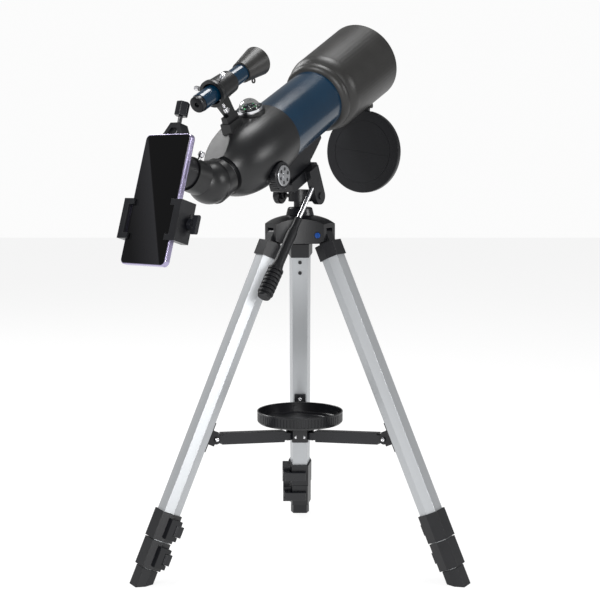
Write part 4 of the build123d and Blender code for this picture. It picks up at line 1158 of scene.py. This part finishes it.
@dataclass
class Finder:
    """The finder telescope and its ring bracket.

    Attributes:
        edge: Rounding of the moulded parts.
        screw_ribs: Ribs round each thumbscrew.
    """

    edge: float = 0.4 * MM
    screw_ribs: int = 14

    def build(self, shop: Shop, axes: ScopeAxes) -> None:
        """Refine the finder's parts."""
        shop.refined("finder_tube", NAVY, 0.2 * MM)
        shop.refined("finder_hood", DARK_GREY, self.edge)
        shop.refined("finder_lens", LENS, 0.3 * MM)
        shop.refined("finder_eyepiece", BLACK, self.edge)
        shop.refined("finder_ring", HOUSING, 0.6 * MM)
        self.make_screws(shop, axes)

    def make_screws(self, shop: Shop, axes: ScopeAxes) -> None:
        """Make the three adjusting screws with ribbed heads."""
        parts = []
        for angle in (50, 170, 290):
            turn = math.radians(angle)
            radial = axes.right * math.cos(turn) + axes.upward * math.sin(turn)
            root = axes.point(-160.0, 0.0, 95.0) + radial * (10.8 * MM)
            spot = Spot(root, radial, axes.forward)
            stem = turned("stem", [(0.0, 0.0), (1.5 * MM, 0.0), (1.5 * MM, 11.4 * MM), (0.0, 11.4 * MM)], 20)
            parts.append(place(stem, spot))
            parts.append(RibbedWheel(2.9 * MM, 7.0 * MM, self.screw_ribs, 0.0).build("head", spot.moved(z=11.0 * MM)))
        screws = join(parts)
        screws.name = "finder_screws_fine"
        shop.mount(screws, "finder_screws", CHROME, True)


# ---------------------------------------------------------------- eye end and phone


@dataclass
class EyeEnd:
    """The angled prism, the eyepiece and its thumbscrew."""

    edge: float = 0.5 * MM

    def build(self, shop: Shop) -> None:
        """Refine the prism body and eyepiece, and make the ribbed thumbscrew."""
        shop.refined("erecting_diagonal", HOUSING, self.edge)
        shop.refined("eyepiece", BLACK, self.edge)
        way = shop.axis("thumbscrew_turn")
        middle = shop.pivot("thumbscrew_turn")
        spot = Spot(middle - way * (24.0 * MM), way, shop.axis("eyepiece_pull"))
        stem = turned("thumb_stem", [(0.0, 16.1 * MM), (2.0 * MM, 16.1 * MM), (2.0 * MM, 23.4 * MM), (0.0, 23.4 * MM)], 24)
        place(stem, spot)
        head = RibbedWheel(3.6 * MM, 7.0 * MM, 14, 0.5 * MM).build("thumb_head", spot.moved(z=23.0 * MM))
        screw = join([head, stem])
        screw.name = "eyepiece_thumbscrew_fine"
        shop.mount(screw, "eyepiece_thumbscrew", CHROME, True)


@dataclass
class PhoneHolder:
    """The clamp that holds the phone to the eyepiece."""

    edge: float = 0.9 * MM

    def build(self, shop: Shop) -> None:
        """Refine the frame, the jaws, the clamp knob and the wing knob."""
        shop.refined("phone_holder", BLACK, self.edge, 3)
        shop.refined("phone_jaw", BLACK, self.edge, 3)
        shop.refined("eyepiece_clamp_jaw", BLACK, 0.6 * MM)
        shop.refined("eyepiece_clamp_knob", SATIN_BLACK, 1.2 * MM, 3)
        shop.refined("phone_jaw_wing_knob", SATIN_BLACK, 0.9 * MM, 3)


@dataclass
class Handset:
    """A plain phone with a dark screen and a bright rim.

    Attributes:
        width: Width across the phone.
        height: Height of the phone.
        thickness: Thickness through the phone.
        corner: Radius of its corners.
        rim: Width of the rim seen round the screen.
    """

    width: float = 74.0 * MM
    height: float = 153.0 * MM
    thickness: float = 8.0 * MM
    corner: float = 6.5 * MM
    rim: float = 1.3 * MM

    def build(self, shop: Shop) -> None:
        """Make the shell, the screen and the side keys."""
        upright = shop.axis("phone_slide")
        toward = shop.axis("eyepiece_pull")
        across = upright.cross(toward).normalized()
        low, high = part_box("phone")
        centre = (Vector(low) + Vector(high)) / 2
        spot = Spot(centre, toward, across)
        half = self.thickness / 2
        shell = prism("phone_shell", rounded_box(self.width, self.height, self.corner, 10), -half, half - 0.15 * MM)
        soften(shell, 1.6 * MM, 4, 50.0)
        shop.mount(place(shell, spot), "phone", LILAC, True)
        glass = prism(
            "phone_screen",
            rounded_box(self.width - 2 * self.rim, self.height - 2 * self.rim, self.corner - self.rim, 10),
            half - 1.2 * MM, half,
        )
        soften(glass, 0.3 * MM, 2, 50.0)
        # The screen's finish carries a painted reflection band in its colour.
        screen = ScreenGlass(
            "dark_screen_painted_reflection", (0.003, 0.003, 0.0035), 0.08, grain_depth=0.0, specular=0.25, centre=tuple(centre),
            across=tuple(across), upright=tuple(upright),
        )
        shop.mount(place(glass, spot), "phone", screen, False)
        self.make_keys(shop, spot, half)

    def make_keys(self, shop: Shop, spot: Spot, half: float) -> None:
        """Make the two keys on the side."""
        for index, (low, high) in enumerate(((28.0 * MM, 40.0 * MM), (44.0 * MM, 66.0 * MM))):
            key = prism("key", rounded_box(0.9 * MM, high - low, 0.4 * MM, 3), -1.2 * MM, 1.2 * MM)
            soften(key, 0.2 * MM, 2, 50.0)
            key.name = "phone_key_" + str(index + 1)
            seat = spot.moved(x=self.width / 2 - 0.45 * MM, y=(low + high) / 2 - 20 * MM)
            shop.mount(place(key, seat), "phone", LILAC, False)


def dress_telescope(shop: Shop) -> None:
    """Build every sub-assembly of the telescope in order."""
    axes = ScopeAxes.read(shop)
    Tripod().build(shop)
    PanTiltHead().build(shop)
    OpticalTube().build(shop, axes)
    FlipCap().build(shop, axes)
    RearEnd().build(shop, axes)
    Compass().build(shop, axes)
    Finder().build(shop, axes)
    EyeEnd().build(shop)
    PhoneHolder().build(shop)
    Handset().build(shop)


def main() -> None:
    """Build the telescope's looks in order."""
    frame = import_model()
    shop = Shop(frame)
    Studio().build(shop.paint)
    dress_telescope(shop)


if __name__ == "__main__":
    main()
